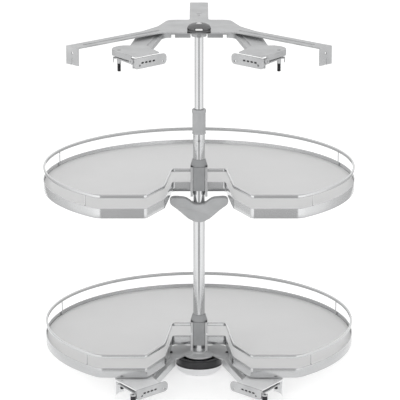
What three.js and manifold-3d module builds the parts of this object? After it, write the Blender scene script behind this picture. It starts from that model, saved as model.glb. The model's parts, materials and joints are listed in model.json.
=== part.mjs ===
// Corner carousel fitting for a kitchen cabinet with L-shaped doors.
// Millimetres, +Z up. The origin is on the post's axis, on the cabinet floor.
// -Y faces the doors; the fitting is the same on both sides of the YZ plane.

import * as THREE from 'three';
import { mergeVertices } from 'three/addons/utils/BufferGeometryUtils.js';
import Module from 'manifold-3d';

const wasm = await Module();
wasm.setup();

// ---------------------------------------------------------------- driving sizes

const seat = 0.3; // gap between pieces that sit on or in each other
const running = 0.5; // gap between pieces that turn past each other

const post = {
  outerRadius: 13.5,
  wall: 1.5,
  bottom: 50.3,
  top: 600,
};

const innerPost = {
  radius: 10,
  wall: 1.5,
  insertion: 130, // length hidden inside the lower tube
};

const sleeve = {
  below: 28.5, // length gripping the lower tube
  above: 28.5, // length guiding the upper tube
  bodyWall: 1.3,
  rimWall: 2.4,
  rimHeight: 9,
};

const clampScrew = {
  drop: 14.5, // distance below the sleeve
  headRadius: 3.4,
  headHeight: 2.2,
};

const tray = {
  radius: 360,
  centreBehindPost: 66,
  frontCut: 79.3, // how far the straight front edge cuts into the circle
  frontFillet: 34,
  mouthHalf: 116, // half width of the notch at the front edge
  throatHalf: 76.4, // half width where the notch narrows
  throatY: -130.5,
  backHalf: 61.3, // half width at the back of the notch
  mouthFillet: 11,
  throatFillet: 34,
  backFillet: 7,
  bandHeight: 22.5,
  bandWall: 1.6,
  bandLip: 0.5, // softened top edge
  ledgeWidth: 9,
  ledgeThickness: 1.5,
  boardThickness: 12,
  arcSteps: 46,
  filletSteps: 4,
};

const rail = {
  width: 4.4,
  height: 8,
  centreHeight: 49.8, // above the underside of the band
  wireRadius: 1.3,
  wireInset: 3.8,
  rearWireAngle: 22, // degrees in front of the tray's widest line
  frontWireInset: 24.5, // from the straight front edge
};

const hubBracket = {
  sheet: 2.5,
  innerHalf: 14,
  frontY: -20,
  lipHalf: 19.5,
  height: 66,
  footLength: 54,
  footHalf: 19.5,
  boltHeight: 38,
  boltRadius: 2,
  boltHeadRadius: 3.6,
  boltHeadHeight: 2.4,
  screwRadius: 2.2,
  screwHeadRadius: 4.4,
  screwHeadHeight: 2,
  screwLength: 9,
  screwInsets: [16, 42], // from the back of the channel
};

const insert = {
  bottom: 10,
  halfWidth: 12.7,
};

const collar = {
  baseRadius: 19.6,
  topRadius: 14.9,
  rim: 0.8,
  height: 15.8,
};

const trayLevels = { lower: 58.5, upper: 430.2 }; // undersides of the two bands

const foot = {
  floorRadius: 33,
  rimRadius: 56,
  height: 13.6,
  ringInner: 42,
  ringOuter: 53,
  ringHeight: 19.8,
  ringFloor: 11.6,
  ringBore: 14,
  pinRadius: 8,
  pinSeat: 6,
  pinTop: 60,
  ballRadius: 4,
  ballCircle: 27,
  ballCount: 10,
  cageHalfWidth: 4.4,
  cageHeight: 3,
};

const hubPlate = {
  radius: 34,
  thickness: 4.2,
  coneRadius: 25,
  coneShoulder: 17.5,
  coneHeight: 4.5,
  coneTop: 14.6,
  spigot: 12, // length of the spigot inside the tube
};

const armSheet = 2.5;

// A pressed groove along an arm's inner edge, and the bead beside it.
const groove = { inset: 4, width: 7.5, depth: 1, endGap: 38, beadHalf: 1.3, beadHeight: 1 };

const topArms = {
  drop: 5, // below the cabinet bracket's underside
  frontY: -22.2,
  cornerX: 80.6,
  cornerFillet: 22,
  innerEndX: 107.5,
  outerEndX: 156,
  endY: -206,
  shoulderX: 135,
  shoulderY: -20,
  backHalf: 70,
  backY: 58,
  flangeStartX: 19,
  flange: 8, // depth of the bent edge
  reliefFrom: 54, // gap in the bent edge at the bend
  reliefTo: 62,
};

const bottomArms = {
  frontY: -31,
  cornerX: 54,
  cornerFillet: 8,
  innerEndX: 105,
  outerEndX: 156,
  endY: -206,
  shoulderX: 135,
  shoulderY: -20,
  backHalf: 70,
  backY: 58,
  throatX: 26,
  throatY: -2,
  flange: 15,
  screwX: 66.7,
  screwY: 11,
  screwHeadRadius: 5.2,
  screwHeadHeight: 2.4,
  holeX: 104,
  holeY: -139,
  holePitch: 8,
  holeRadius: 3,
};

const topSocket = { radius: 17, height: 8.2, screwRadius: 5, screwHeight: 3.4 };

const topPivot = { flangeRadius: 14, flangeHeight: 2, shaftRadius: 7, stickOut: 0.3 };

const star = {
  top: 816,
  sheet: 3,
  centreY: 62, // where the centrelines of the three legs meet
  legHalf: 19,
  tabReach: 389, // from that centre to the face of an end tab
  tabDrop: 40,
  tabHoleDrop: 14,
  tabHoleRadius: 3,
  tabSlotHalf: 1.8,
  tabSlotHeight: 14,
  hubFrontY: -53,
  hubBackY: 97,
  hubBackHalf: 62,
  hubShoulder: 9,
  hubBackFillet: 22,
  waistX: 93, // where the hub plate narrows into a front leg
  waistY: 18,
  waistFillet: 60,
  legRootX: 128,
  legRootFillet: 40,
  rearHalf: 21.5,
  rearY: 313,
  rearHoleY: 147,
  rearHoleRadius: 3,
  rearFillet: 7,
  ribHeight: 1.2,
};

const housing = {
  radius: 26,
  flangeRadius: 33,
  flangeHeight: 2,
  domeTop: 10.5, // above the star bracket
  slotHalf: 8,
  slotHeight: 5,
};

const support = {
  top: 424.6,
  bottom: 367,
  halfWidth: 69,
  footHalf: 13,
  dipHalf: 12, // dip of the top edge in front of the post
  dipLevel: 0.76,
  thickness: 20,
  frontY: -24,
  bend: 14, // how far the wing tips lie behind the middle
  ringWall: 5,
  ringDrop: 15.5,
  ringHeight: 26,
};

const bracket = {
  lobeX: -152,
  lobeY: -206,
  lobeRadius: 37,
  sheet: 2.5,
  lobeFrom: 1.92, // the rounded end's directions, in radians
  lobeTo: 3.95,
  tabFrom: 2.1,
  tabTo: 3.3,
  skirtWall: 2.2,
  cornerInset: 21, // from the door plate's inner end
  innerX: -104,
  innerY: -203,
  neckX: -112,
  neckY: -172,
};

const doorPlate = {
  middleX: -101.75,
  middleY: -260.6,
  thickness: 3,
  leftLength: 51, // from the middle to the outer end
  rightLength: 45,
  height: 23.5,
  corner: 9,
  holeSpacing: 69.4,
  holeRadius: 2.6,
  holeHeight: 7,
  slotCount: 4,
  slotPitch: 11.1,
  slotCentre: -9.9,
  slotHalfLength: 4,
  slotRadius: 2,
  slotHeight: 12,
};

const carrier = {
  sheet: 2.5,
  lugRadius: 9,
  stripHalf: 8,
  tabDrop: 8,
  flangeHeight: 18,
  flangeFrom: -51.5,
  flangeTo: 30,
  nutRadius: 5.4,
  bossHalf: 4.6,
  bossLength: 10,
};

const stud = { x: -173, radius: 4 };

const adjusterTravel = 1.5; // lift of a door plate, up and down

const pivotScrew = { headRadius: 5.6, headHeight: 3, shankRadius: 2, shankLength: 8 };

// The lower brackets are locked by a black thumb screw that hangs from a lug.
const thumbScrew = {
  alongPlate: -58,
  behindFace: 4.5,
  lugRadius: 7,
  headRadius: 6,
  headHeight: 14,
  shankRadius: 2,
  tailRadius: 3,
  tailLength: 5,
};

// Heights in a door bracket are counted from the top of its body.
const upperBracket = {
  rise: 2.8, // above the arm plate
  skirt: 13.4,
  frontSetback: -doorPlate.thickness,
  plateBottom: -28.3,
  stripTop: -15.8,
  flangeBottom: -25.8,
  studY: -222,
  studBottom: -46.8,
  studTop: -3.3,
  nutFrom: -28.8,
  nutTo: -18.3,
  clipReach: 4,
  screwHeight: -10.8,
  tabDrop: 0,
  standX: null,
};

const lowerBracket = {
  rise: 14.3,
  skirt: 16,
  frontSetback: 2 * seat + carrier.sheet,
  plateBottom: -22,
  stripTop: -6.5,
  flangeBottom: -20,
  studY: -226,
  studBottom: -19,
  studTop: -2.7,
  nutFrom: -12.5,
  nutTo: -6.5,
  clipReach: 0,
  screwHeight: null,
  tabDrop: 27,
  standX: [-126, -110], // foot on the arm plate
  standY: [-190, -174],
};

// ---------------------------------------------------------------- finishes

function finish(color, roughness, metalness) {
  return () => new THREE.MeshStandardMaterial({ color, roughness, metalness });
}

const platedSteel = finish(0xc4c5c7, 0.42, 0.85);
const satinTube = finish(0xd0d1d3, 0.25, 0.95);
const railChrome = finish(0xc9cacc, 0.16, 1);
const bandMetal = finish(0xbfc0c2, 0.36, 0.8);
const boardFoil = finish(0xd6d6d6, 0.5, 0);
const greyPlastic = finish(0xa9abad, 0.5, 0);
const darkPlastic = finish(0x7d7f82, 0.55, 0);
const blackPlastic = finish(0x1b1c1e, 0.45, 0);
const blackSteel = finish(0x232427, 0.4, 0.6);
const brightSteel = finish(0xe2e3e4, 0.12, 1);

// ---------------------------------------------------------------- solids

function signedVolume(geometry) {
  const p = geometry.getAttribute('position');
  const index = geometry.index;
  const [a, b, c] = [new THREE.Vector3(), new THREE.Vector3(), new THREE.Vector3()];
  let volume = 0;
  for (let i = 0; i < index.count; i += 3) {
    a.fromBufferAttribute(p, index.getX(i));
    b.fromBufferAttribute(p, index.getX(i + 1));
    c.fromBufferAttribute(p, index.getX(i + 2));
    volume += a.dot(b.cross(c)) / 6;
  }
  return volume;
}

// A closed geometry with shared vertices and faces that point out.
function closed(geometry) {
  const bare = geometry.clone();
  bare.deleteAttribute('normal');
  bare.deleteAttribute('uv');
  const merged = mergeVertices(bare, 1e-4);
  if (signedVolume(merged) < 0) {
    const index = merged.index.array;
    for (let i = 0; i < index.length; i += 3) {
      [index[i + 1], index[i + 2]] = [index[i + 2], index[i + 1]];
    }
  }
  return merged;
}

function solid(geometry) {
  const source = closed(geometry);
  return new wasm.Manifold(new wasm.Mesh({
    numProp: 3,
    vertProperties: new Float32Array(source.getAttribute('position').array),
    triVerts: new Uint32Array(source.index.array),
  }));
}

function geometryOf(manifold) {
  const mesh = manifold.getMesh();
  const geometry = new THREE.BufferGeometry();
  geometry.setAttribute('position', new THREE.BufferAttribute(mesh.vertProperties, 3));
  geometry.setIndex(new THREE.BufferAttribute(mesh.triVerts, 1));
  geometry.computeVertexNormals();
  return geometry;
}

function join(...geometries) {
  return geometryOf(geometries.map(solid).reduce((whole, next) => whole.add(next)));
}

function cut(body, ...tools) {
  return geometryOf(tools.map(solid).reduce((rest, tool) => rest.subtract(tool), solid(body)));
}

// The same piece for the other side of the YZ plane.
function mirrored(geometry) {
  const copy = geometry.clone();
  copy.scale(-1, 1, 1);
  const result = closed(copy);
  result.computeVertexNormals();
  return result;
}

// ---------------------------------------------------------------- basic forms

function revolve(profile, segments = 24) {
  const points = profile.map(([radius, height]) => new THREE.Vector2(radius, height));
  if (profile[0][0] > 0) points.push(points[0].clone());
  return new THREE.LatheGeometry(points, segments).rotateX(Math.PI / 2);
}

function tube(outer, inner, from, to, segments = 24) {
  return revolve([[inner, from], [outer, from], [outer, to], [inner, to]], segments);
}

function rod(radius, from, to, segments = 16) {
  return revolve([[0, from], [radius, from], [radius, to], [0, to]], segments);
}

// A rod that lies along a direction in the horizontal plane.
function sideRod(radius, length, from, angle, segments = 16) {
  const geometry = new THREE.CylinderGeometry(radius, radius, length, segments);
  geometry.rotateZ(-Math.PI / 2).translate(length / 2, 0, 0).rotateZ(angle);
  return geometry.translate(from[0], from[1], from[2]);
}

function prism(points, from, to) {
  const shape = new THREE.Shape(points.map(([x, y]) => new THREE.Vector2(x, y)));
  const options = { depth: to - from, bevelEnabled: false };
  return new THREE.ExtrudeGeometry(shape, options).translate(0, 0, from);
}

function block(x, y, z) {
  return prism([[x[0], y[0]], [x[1], y[0]], [x[1], y[1]], [x[0], y[1]]], z[0], z[1]);
}

function arc(centreX, centreY, radius, from, to, steps) {
  return Array.from({ length: steps + 1 }, (_, i) => {
    const angle = from + ((to - from) * i) / steps;
    return [centreX + radius * Math.cos(angle), centreY + radius * Math.sin(angle)];
  });
}

// The points of a corner that is rounded with a radius; [x, y] without one stays sharp.
function roundedCorner(before, corner, after, steps) {
  const [x, y, radius = 0] = corner;
  if (radius === 0) return [[x, y]];
  const here = new THREE.Vector2(x, y);
  const inward = new THREE.Vector2(before[0], before[1]).sub(here).normalize();
  const outward = new THREE.Vector2(after[0], after[1]).sub(here).normalize();
  const half = Math.acos(THREE.MathUtils.clamp(inward.dot(outward), -1, 1)) / 2;
  const bisector = inward.clone().add(outward).normalize();
  const centre = here.clone().addScaledVector(bisector, radius / Math.sin(half));
  const reach = radius / Math.tan(half);
  const start = here.clone().addScaledVector(inward, reach).sub(centre);
  const end = here.clone().addScaledVector(outward, reach).sub(centre);
  let sweep = end.angle() - start.angle();
  if (sweep > Math.PI) sweep -= 2 * Math.PI;
  if (sweep < -Math.PI) sweep += 2 * Math.PI;
  return arc(centre.x, centre.y, radius, start.angle(), start.angle() + sweep, steps);
}

function roundedOutline(corners, steps = 4) {
  const count = corners.length;
  return corners.flatMap((corner, i) => {
    const before = corners[(i + count - 1) % count];
    const after = corners[(i + 1) % count];
    return roundedCorner(before, corner, after, steps);
  });
}

// Shifts every edge of a line of points to its left by one distance.
function offset(points, distance, looped) {
  const count = points.length;
  return points.map((here, i) => {
    const before = points[looped ? (i + count - 1) % count : Math.max(i - 1, 0)];
    const after = points[looped ? (i + 1) % count : Math.min(i + 1, count - 1)];
    const inEdge = new THREE.Vector2(here[0] - before[0], here[1] - before[1]);
    const outEdge = new THREE.Vector2(after[0] - here[0], after[1] - here[1]);
    const a = (inEdge.lengthSq() > 0 ? inEdge : outEdge).clone().normalize();
    const b = (outEdge.lengthSq() > 0 ? outEdge : inEdge).clone().normalize();
    const scale = distance / (1 + a.dot(b));
    return [here[0] - (a.y + b.y) * scale, here[1] + (a.x + b.x) * scale];
  });
}

// A wall that stands along an open line, thickened to the line's left.
function wall(line, thickness, from, to) {
  return prism([...line, ...offset(line, thickness, false).reverse()], from, to);
}

// A closed bar along a closed outline. Each section point is [inset, height].
function sweepAround(outline, section) {
  const rings = section.map(([inset, height]) => {
    return offset(outline, inset, true).map(([x, y]) => [x, y, height]);
  });
  const around = outline.length;
  const index = [];
  rings.forEach((_, r) => {
    const next = (r + 1) % rings.length;
    for (let i = 0; i < around; i += 1) {
      const j = (i + 1) % around;
      index.push(r * around + i, next * around + j, r * around + j);
      index.push(r * around + i, next * around + i, next * around + j);
    }
  });
  const geometry = new THREE.BufferGeometry();
  geometry.setAttribute('position', new THREE.Float32BufferAttribute(rings.flat(2), 3));
  geometry.setIndex(index);
  return geometry;
}

function piece(name, geometry, material, position = [0, 0, 0]) {
  const mesh = new THREE.Mesh(geometry, material());
  mesh.name = name;
  mesh.position.set(...position);
  return mesh;
}

function group(height, ...members) {
  const result = new THREE.Group();
  result.position.z = height;
  result.add(...members);
  return result;
}

// ---------------------------------------------------------------- foot

const ringTop = foot.height + seat + foot.ringHeight;
const raceTop = foot.height + seat + foot.ringFloor;
const ballHeight = raceTop + seat + foot.ballRadius;
const hubPlateBottom = Math.max(ballHeight + foot.ballRadius + seat, ringTop + running);
const hubPlateTop = hubPlateBottom + hubPlate.thickness;

function floorDish() {
  const { floorRadius, rimRadius, height, pinRadius, pinSeat } = foot;
  const flare = rimRadius - floorRadius;
  return revolve([
    [0, 0],
    [floorRadius, 0],
    [floorRadius + flare * 0.5, height * 0.12],
    [floorRadius + flare * 0.86, height * 0.4],
    [rimRadius, height * 0.8],
    [rimRadius, height],
    [pinRadius + seat, height],
    [pinRadius + seat, pinSeat],
    [0, pinSeat],
  ], 36);
}

function bearingRing() {
  const bottom = foot.height + seat;
  return revolve([
    [foot.ringBore, bottom],
    [foot.ringOuter, bottom],
    [foot.ringOuter, ringTop - 1.6],
    [foot.ringOuter - 1.6, ringTop],
    [foot.ringInner, ringTop],
    [foot.ringInner, raceTop],
    [foot.ringBore, raceTop],
  ], 36);
}

function ballCage() {
  const { ballCircle, cageHalfWidth, cageHeight, ballCount, ballRadius } = foot;
  const low = ballHeight - cageHeight / 2;
  const cage = tube(ballCircle + cageHalfWidth, ballCircle - cageHalfWidth, low, low + cageHeight);
  const balls = Array.from({ length: ballCount }, (_, i) => {
    const angle = (2 * Math.PI * i) / ballCount;
    const x = ballCircle * Math.cos(angle);
    const y = ballCircle * Math.sin(angle);
    return new THREE.IcosahedronGeometry(ballRadius, 1).translate(x, y, ballHeight);
  });
  return join(cage, ...balls);
}

const footGroup = group(0,
  piece('floor_dish', floorDish(), brightSteel),
  piece('bearing_ring', bearingRing(), blackPlastic),
  piece('ball_cage', ballCage(), brightSteel),
  piece('pivot_pin', rod(foot.pinRadius, foot.pinSeat + seat, foot.pinTop, 24), brightSteel),
);

// ---------------------------------------------------------------- column

const postBore = post.outerRadius - post.wall;

function hubPlateForm() {
  const bore = foot.pinRadius + seat;
  const spigotRadius = postBore - seat;
  return revolve([
    [bore, hubPlateBottom],
    [hubPlate.radius, hubPlateBottom],
    [hubPlate.radius, hubPlateTop - 1],
    [hubPlate.radius - 1, hubPlateTop],
    [hubPlate.coneRadius, hubPlateTop],
    [hubPlate.coneShoulder, hubPlateTop + hubPlate.coneHeight],
    [hubPlate.coneTop, hubPlateTop + hubPlate.coneHeight + 1.5],
    [hubPlate.coneTop, post.bottom - seat],
    [spigotRadius, post.bottom - seat],
    [spigotRadius, post.bottom + hubPlate.spigot],
    [bore, post.bottom + hubPlate.spigot],
  ]);
}

function couplingSleeve() {
  const { below, above, bodyWall, rimWall, rimHeight } = sleeve;
  const grip = post.outerRadius + seat;
  const guide = innerPost.radius + seat;
  const bottom = post.top - below;
  const top = post.top + above;
  return revolve([
    [grip, bottom],
    [grip + rimWall * 0.8, bottom],
    [grip + bodyWall, bottom + rimHeight * 0.4],
    [grip + bodyWall, top - rimHeight],
    [grip + rimWall, top - rimHeight * 0.8],
    [grip + rimWall, top - rimHeight * 0.2],
    [grip + rimWall - 1, top],
    [guide, top],
    [guide, post.top + seat],
    [grip, post.top + seat],
  ]);
}

function postClampScrew() {
  const height = post.top - sleeve.below - clampScrew.drop;
  const from = [0, -post.outerRadius - seat - clampScrew.headHeight, height];
  return sideRod(clampScrew.headRadius, clampScrew.headHeight, from, Math.PI / 2);
}

// The wings of the door support: an outline seen from the front, bent back at its tips.
function doorSupport() {
  const { top, bottom, halfWidth, footHalf, thickness, frontY, bend } = support;
  const { dipHalf, dipLevel } = support;
  const height = top - bottom;
  const wing = (side) => {
    const at = (across, up) => [side * across, bottom + height * up];
    const points = [
      [...at(footHalf + 12, 0.1), ...at(halfWidth - 26, 0.45), ...at(halfWidth - 12, 0.58)],
      [...at(halfWidth - 2, 0.66), ...at(halfWidth + 1, 0.8), ...at(halfWidth - 4, 0.92)],
      [...at(halfWidth - 8, 1.01), ...at(halfWidth - 20, 1), ...at(halfWidth * 0.5, 0.985)],
      [...at(halfWidth * 0.36, 0.96), ...at(dipHalf + 9, 0.86), ...at(dipHalf, dipLevel)],
    ];
    const path = new THREE.Shape();
    path.moveTo(...at(0, 0));
    path.bezierCurveTo(...at(footHalf * 0.6, 0), ...at(footHalf, 0.04), ...at(footHalf + 6, 0.1));
    points.forEach((curve) => path.bezierCurveTo(...curve));
    path.lineTo(...at(0, dipLevel - 0.03));
    const list = path.getPoints(5);
    return side > 0 ? list : list.reverse();
  };
  const outlinePoints = [...wing(1), ...wing(-1).slice(1, -1)];
  const shape = new THREE.Shape(outlinePoints);
  const wings = new THREE.ExtrudeGeometry(shape, {
    depth: thickness - 5,
    bevelThickness: 2.5,
    bevelSize: 2.5,
    bevelOffset: -2.5,
    bevelSegments: 2,
    curveSegments: 6,
  });
  wings.rotateX(Math.PI / 2).translate(0, frontY + thickness - 2.5, 0);
  const position = wings.getAttribute('position');
  for (let i = 0; i < position.count; i += 1) {
    const x = position.getX(i);
    position.setY(i, position.getY(i) + bend * (x / halfWidth) ** 2);
  }
  const grip = post.outerRadius + seat;
  const ringTopZ = top - support.ringDrop;
  const ring = rod(grip + support.ringWall, ringTopZ - support.ringHeight, ringTopZ, 24);
  return cut(join(wings, ring), rod(grip, bottom - 10, top + 10, 24));
}

const columnGroup = group(0,
  piece('hub_plate', hubPlateForm(), platedSteel),
  piece('lower_tube', tube(post.outerRadius, postBore, post.bottom, post.top), satinTube),
  piece('coupling_sleeve', couplingSleeve(), greyPlastic),
  piece('post_clamp_screw', postClampScrew(), blackSteel),
  piece('door_support', doorSupport(), greyPlastic),
);

// ---------------------------------------------------------------- arm plates

// The centre line of an arm plate's inner edge, from the middle out to the arm's end.
function innerEdge(arms, startX) {
  const corner = [-arms.cornerX, arms.frontY, arms.cornerFillet];
  const end = [-arms.innerEndX, arms.endY];
  return [...roundedCorner([startX, arms.frontY], corner, end, 4), end];
}

function armOutline(arms, front) {
  const left = [
    ...front,
    ...innerEdge(arms, front.length ? front[front.length - 1][0] : 0),
    [-arms.outerEndX, arms.endY],
    [-arms.shoulderX, arms.shoulderY],
    [-arms.backHalf, arms.backY - 22],
    [-arms.backHalf + 8, arms.backY],
  ];
  const right = left.map(([x, y]) => [-x, y]).reverse();
  return [...right, ...left].reverse();
}

function rib(spec, base) {
  const { fromX, fromY, toX, toY, half, height } = spec;
  const along = Math.atan2(toY - fromY, fromX - toX);
  const outline = [
    ...arc(-fromX, fromY, half, along + Math.PI / 2, along + 1.5 * Math.PI, 4),
    ...arc(-toX, toY, half, along - Math.PI / 2, along + Math.PI / 2, 4),
  ];
  return prism(outline, base - 0.5, base + height);
}

const bottomArmsTop = hubPlateTop + seat + armSheet;
const starUnderside = star.top - star.sheet;
const topArmsTop = starUnderside - topArms.drop;

// The groove's outline beside the straight stretch of an inner edge, and its bead's ends.
function besideEdge(edge) {
  const [from, to] = edge.slice(edge.length - 2).map(([x, y]) => new THREE.Vector2(x, y));
  const along = to.clone().sub(from).normalize();
  const across = new THREE.Vector2(along.y, -along.x);
  const at = (run, out) => {
    const point = from.clone().addScaledVector(along, run).addScaledVector(across, out);
    return [point.x, point.y];
  };
  const length = from.distanceTo(to) - groove.endGap;
  const outer = groove.inset + groove.width;
  const beadOut = outer + groove.beadHalf + 1;
  return {
    channel: [at(0, groove.inset), at(length, groove.inset), at(length, outer), at(0, outer)],
    beadFrom: at(0, beadOut),
    beadTo: at(length, beadOut),
  };
}

function pressed(plate, edge, top) {
  const { channel, beadFrom, beadTo } = besideEdge(edge);
  const tool = prism(channel, top - groove.depth, top + 1);
  const bead = rib({
    fromX: -beadFrom[0], fromY: beadFrom[1], toX: -beadTo[0], toY: beadTo[1],
    half: groove.beadHalf, height: groove.beadHeight,
  }, top);
  return join(cut(plate, tool, mirrored(tool)), bead, mirrored(bead));
}

function topArmPlate() {
  const low = topArmsTop - armSheet;
  const plate = prism(armOutline(topArms, []), low, topArmsTop);
  const edge = innerEdge(topArms, 0);
  const line = [[-topArms.flangeStartX, topArms.frontY], ...edge];
  const { flange: depth, reliefFrom, reliefTo, endY } = topArms;
  const relief = block([-reliefTo, -reliefFrom], [endY, -endY], [low - 2 * depth, low - 1]);
  const flange = cut(wall(line, -armSheet, low - depth, low + 1), relief);
  return pressed(join(plate, flange, mirrored(flange)), edge, topArmsTop);
}

const neckClearance = hubPlate.coneRadius + 0.8;

function bottomArmPlate() {
  const low = bottomArmsTop - armSheet;
  const throat = [
    ...arc(0, 0, neckClearance, Math.PI / 2, Math.PI * 1.02, 6),
    [-bottomArms.throatX, bottomArms.throatY],
  ];
  const front = throat.slice(1);
  const plate = prism(armOutline(bottomArms, [[0, neckClearance], ...front]), low, bottomArmsTop);
  const start = [-bottomArms.throatX, bottomArms.throatY];
  const corner = [-bottomArms.cornerX, bottomArms.frontY, bottomArms.cornerFillet];
  const end = [-bottomArms.innerEndX, bottomArms.endY];
  const edge = [...roundedCorner(start, corner, end, 4), end];
  const clear = edge.slice(edge.length - 2);
  const flange = wall(clear, -armSheet, low - bottomArms.flange, low + 1);
  const { holeX, holeY, holePitch, holeRadius } = bottomArms;
  const holes = [-1, 1].flatMap((side) => [0, 1].map((i) => {
    return rod(holeRadius, low - 1, bottomArmsTop + 1, 12)
      .translate(side * (holeX + (i - 0.5) * holePitch), holeY, 0);
  }));
  return cut(pressed(join(plate, flange, mirrored(flange)), edge, bottomArmsTop), ...holes);
}

function plateScrew() {
  const { screwHeadRadius, screwHeadHeight } = bottomArms;
  const low = bottomArmsTop + seat;
  return revolve([
    [0, low],
    [screwHeadRadius, low],
    [screwHeadRadius, low + screwHeadHeight * 0.5],
    [screwHeadRadius * 0.7, low + screwHeadHeight],
    [0, low + screwHeadHeight],
  ], 16);
}

const screwPlace = [bottomArms.screwX, bottomArms.screwY, 0];
columnGroup.add(
  piece('bottom_arm_plate', bottomArmPlate(), platedSteel),
  piece('bottom_plate_screw_right', plateScrew(), blackSteel, screwPlace),
  piece('bottom_plate_screw_left', plateScrew(), blackSteel, [-screwPlace[0], screwPlace[1], 0]),
);

// ---------------------------------------------------------------- upper post

const plateUnderside = topArmsTop - armSheet;
const innerPostTop = plateUnderside - seat;
const innerPostBottom = post.top - innerPost.insertion;

function guideBush() {
  const outer = postBore - seat;
  const inner = innerPost.radius + 0.1;
  return tube(outer, inner, innerPostBottom, innerPostBottom + 18, 24);
}

function topPivotForm() {
  const { flangeRadius, flangeHeight, shaftRadius, stickOut } = topPivot;
  const low = topArmsTop + seat;
  const top = star.top + housing.domeTop + stickOut;
  return revolve([
    [0, low],
    [flangeRadius, low],
    [flangeRadius, low + flangeHeight],
    [shaftRadius, low + flangeHeight],
    [shaftRadius, top - 1.5],
    [shaftRadius - 1.5, top],
    [0, top],
  ], 24);
}

const socketBottom = innerPostTop - topSocket.height;
const socketScrew = sideRod(
  topSocket.screwRadius,
  topSocket.screwHeight,
  [0, -topSocket.radius - seat - topSocket.screwHeight, innerPostTop - topSocket.height / 2 - 0.6],
  Math.PI / 2,
  6,
);

const upperPostGroup = group(0,
  piece('upper_tube',
    tube(innerPost.radius, innerPost.radius - innerPost.wall, innerPostBottom, innerPostTop, 24),
    satinTube),
  piece('guide_bush', guideBush(), greyPlastic),
  piece('top_socket',
    tube(topSocket.radius, innerPost.radius + seat, socketBottom, innerPostTop), platedSteel),
  piece('socket_screw', socketScrew, blackSteel),
  piece('top_arm_plate', topArmPlate(), platedSteel),
  piece('top_pivot', topPivotForm(), brightSteel),
);

// ---------------------------------------------------------------- cabinet bracket

// One leg's edge, a given distance to the front of the 45 degree centreline.
function legEdgeY(x, forward) {
  return x + star.centreY - forward * Math.SQRT2;
}

function starBracket() {
  const reach = star.tabReach / Math.SQRT2;
  const endX = -reach;
  const endY = star.centreY - reach;
  const across = star.legHalf / Math.SQRT2;
  const frontJoinX = star.hubFrontY - star.centreY + star.legHalf * Math.SQRT2;
  const left = [
    [-housing.radius - seat, star.hubFrontY, 6],
    [frontJoinX, star.hubFrontY, 10],
    [endX + across, endY - across],
    [endX - across, endY + across],
    [-star.legRootX, legEdgeY(-star.legRootX, -star.legHalf), star.legRootFillet],
    [-star.waistX, star.waistY, star.waistFillet],
    [-star.hubBackHalf - star.hubShoulder, star.hubBackY, star.hubBackFillet],
    [-star.rearHalf, star.hubBackY, star.rearFillet],
    [-star.rearHalf, star.rearY, 3],
  ];
  const corners = [...left, ...left.map(([x, y, r]) => [-x, y, r]).reverse()].reverse();
  const plate = prism(roundedOutline(corners, 4), starUnderside, star.top);
  const seatRadius = housing.radius + seat;
  const pocket = join(
    rod(seatRadius, starUnderside - 5, star.top + 5, 24),
    block([-seatRadius, seatRadius], [star.hubFrontY - 20, 0], [starUnderside - 5, star.top + 5]),
  );
  const rearHole = rod(star.rearHoleRadius, starUnderside - 5, star.top + 5, 12)
    .translate(0, star.rearHoleY, 0);
  const ribs = starRibs(endX, endY);
  return cut(join(plate, starTab(endX, endY), mirrored(starTab(endX, endY)), ...ribs),
    pocket, rearHole);
}

function starTab(endX, endY) {
  const { legHalf, sheet, top, tabDrop, tabHoleDrop, tabHoleRadius, tabSlotHalf } = star;
  const across = [-legHalf, legHalf];
  const plate = block([0, sheet], across, [top - tabDrop, top - 1]);
  const hole = sideRod(tabHoleRadius, 20, [-10, 0, top - tabHoleDrop], 0);
  const slotTop = top - tabDrop + star.tabSlotHeight;
  const slot = block([-10, 10], [-tabSlotHalf, tabSlotHalf], [top - tabDrop - 5, slotTop]);
  return cut(plate, hole, slot).rotateZ(Math.PI / 4).translate(endX, endY, 0);
}

// Raised beads along the legs that stiffen the pressed plate.
function starRibs(endX, endY) {
  const along = (x) => [x, x + star.centreY];
  const [fromX, fromY] = along(-92);
  const [toX, toY] = along(endX + 26);
  const leg = rib({ fromX: -fromX, fromY, toX: -toX, toY, half: 3, height: star.ribHeight }, star.top);
  const rear = rib({
    fromX: 0, fromY: star.rearHoleY + 26, toX: 0, toY: star.rearHoleY + 62, half: 5,
    height: star.ribHeight,
  }, star.top);
  return [leg, mirrored(leg), rear];
}

function bearingHousing() {
  const { radius, flangeRadius, flangeHeight, domeTop, slotHalf, slotHeight } = housing;
  const flangeTop = starUnderside - seat;
  const low = flangeTop - flangeHeight;
  const bore = topPivot.shaftRadius + seat;
  const top = star.top + domeTop;
  const bodyTop = star.top + 1.5;
  const pivotFlange = topPivot.flangeRadius + running;
  const shell = revolve([
    [pivotFlange, low],
    [flangeRadius, low],
    [flangeRadius, flangeTop],
    [radius, flangeTop],
    [radius, bodyTop],
    [radius * 0.9, bodyTop + (top - bodyTop) * 0.5],
    [radius * 0.66, bodyTop + (top - bodyTop) * 0.85],
    [radius * 0.36, top],
    [bore, top],
    [bore, flangeTop + 1],
    [pivotFlange, flangeTop + 1],
  ], 24);
  const slot = block([-slotHalf, slotHalf], [-radius - 5, -radius + 4],
    [bodyTop - slotHeight, bodyTop - 1]);
  return cut(shell, slot);
}

const starGroup = group(0,
  piece('star_bracket', starBracket(), platedSteel),
  piece('bearing_housing', bearingHousing(), blackPlastic),
);

// ---------------------------------------------------------------- trays

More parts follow.
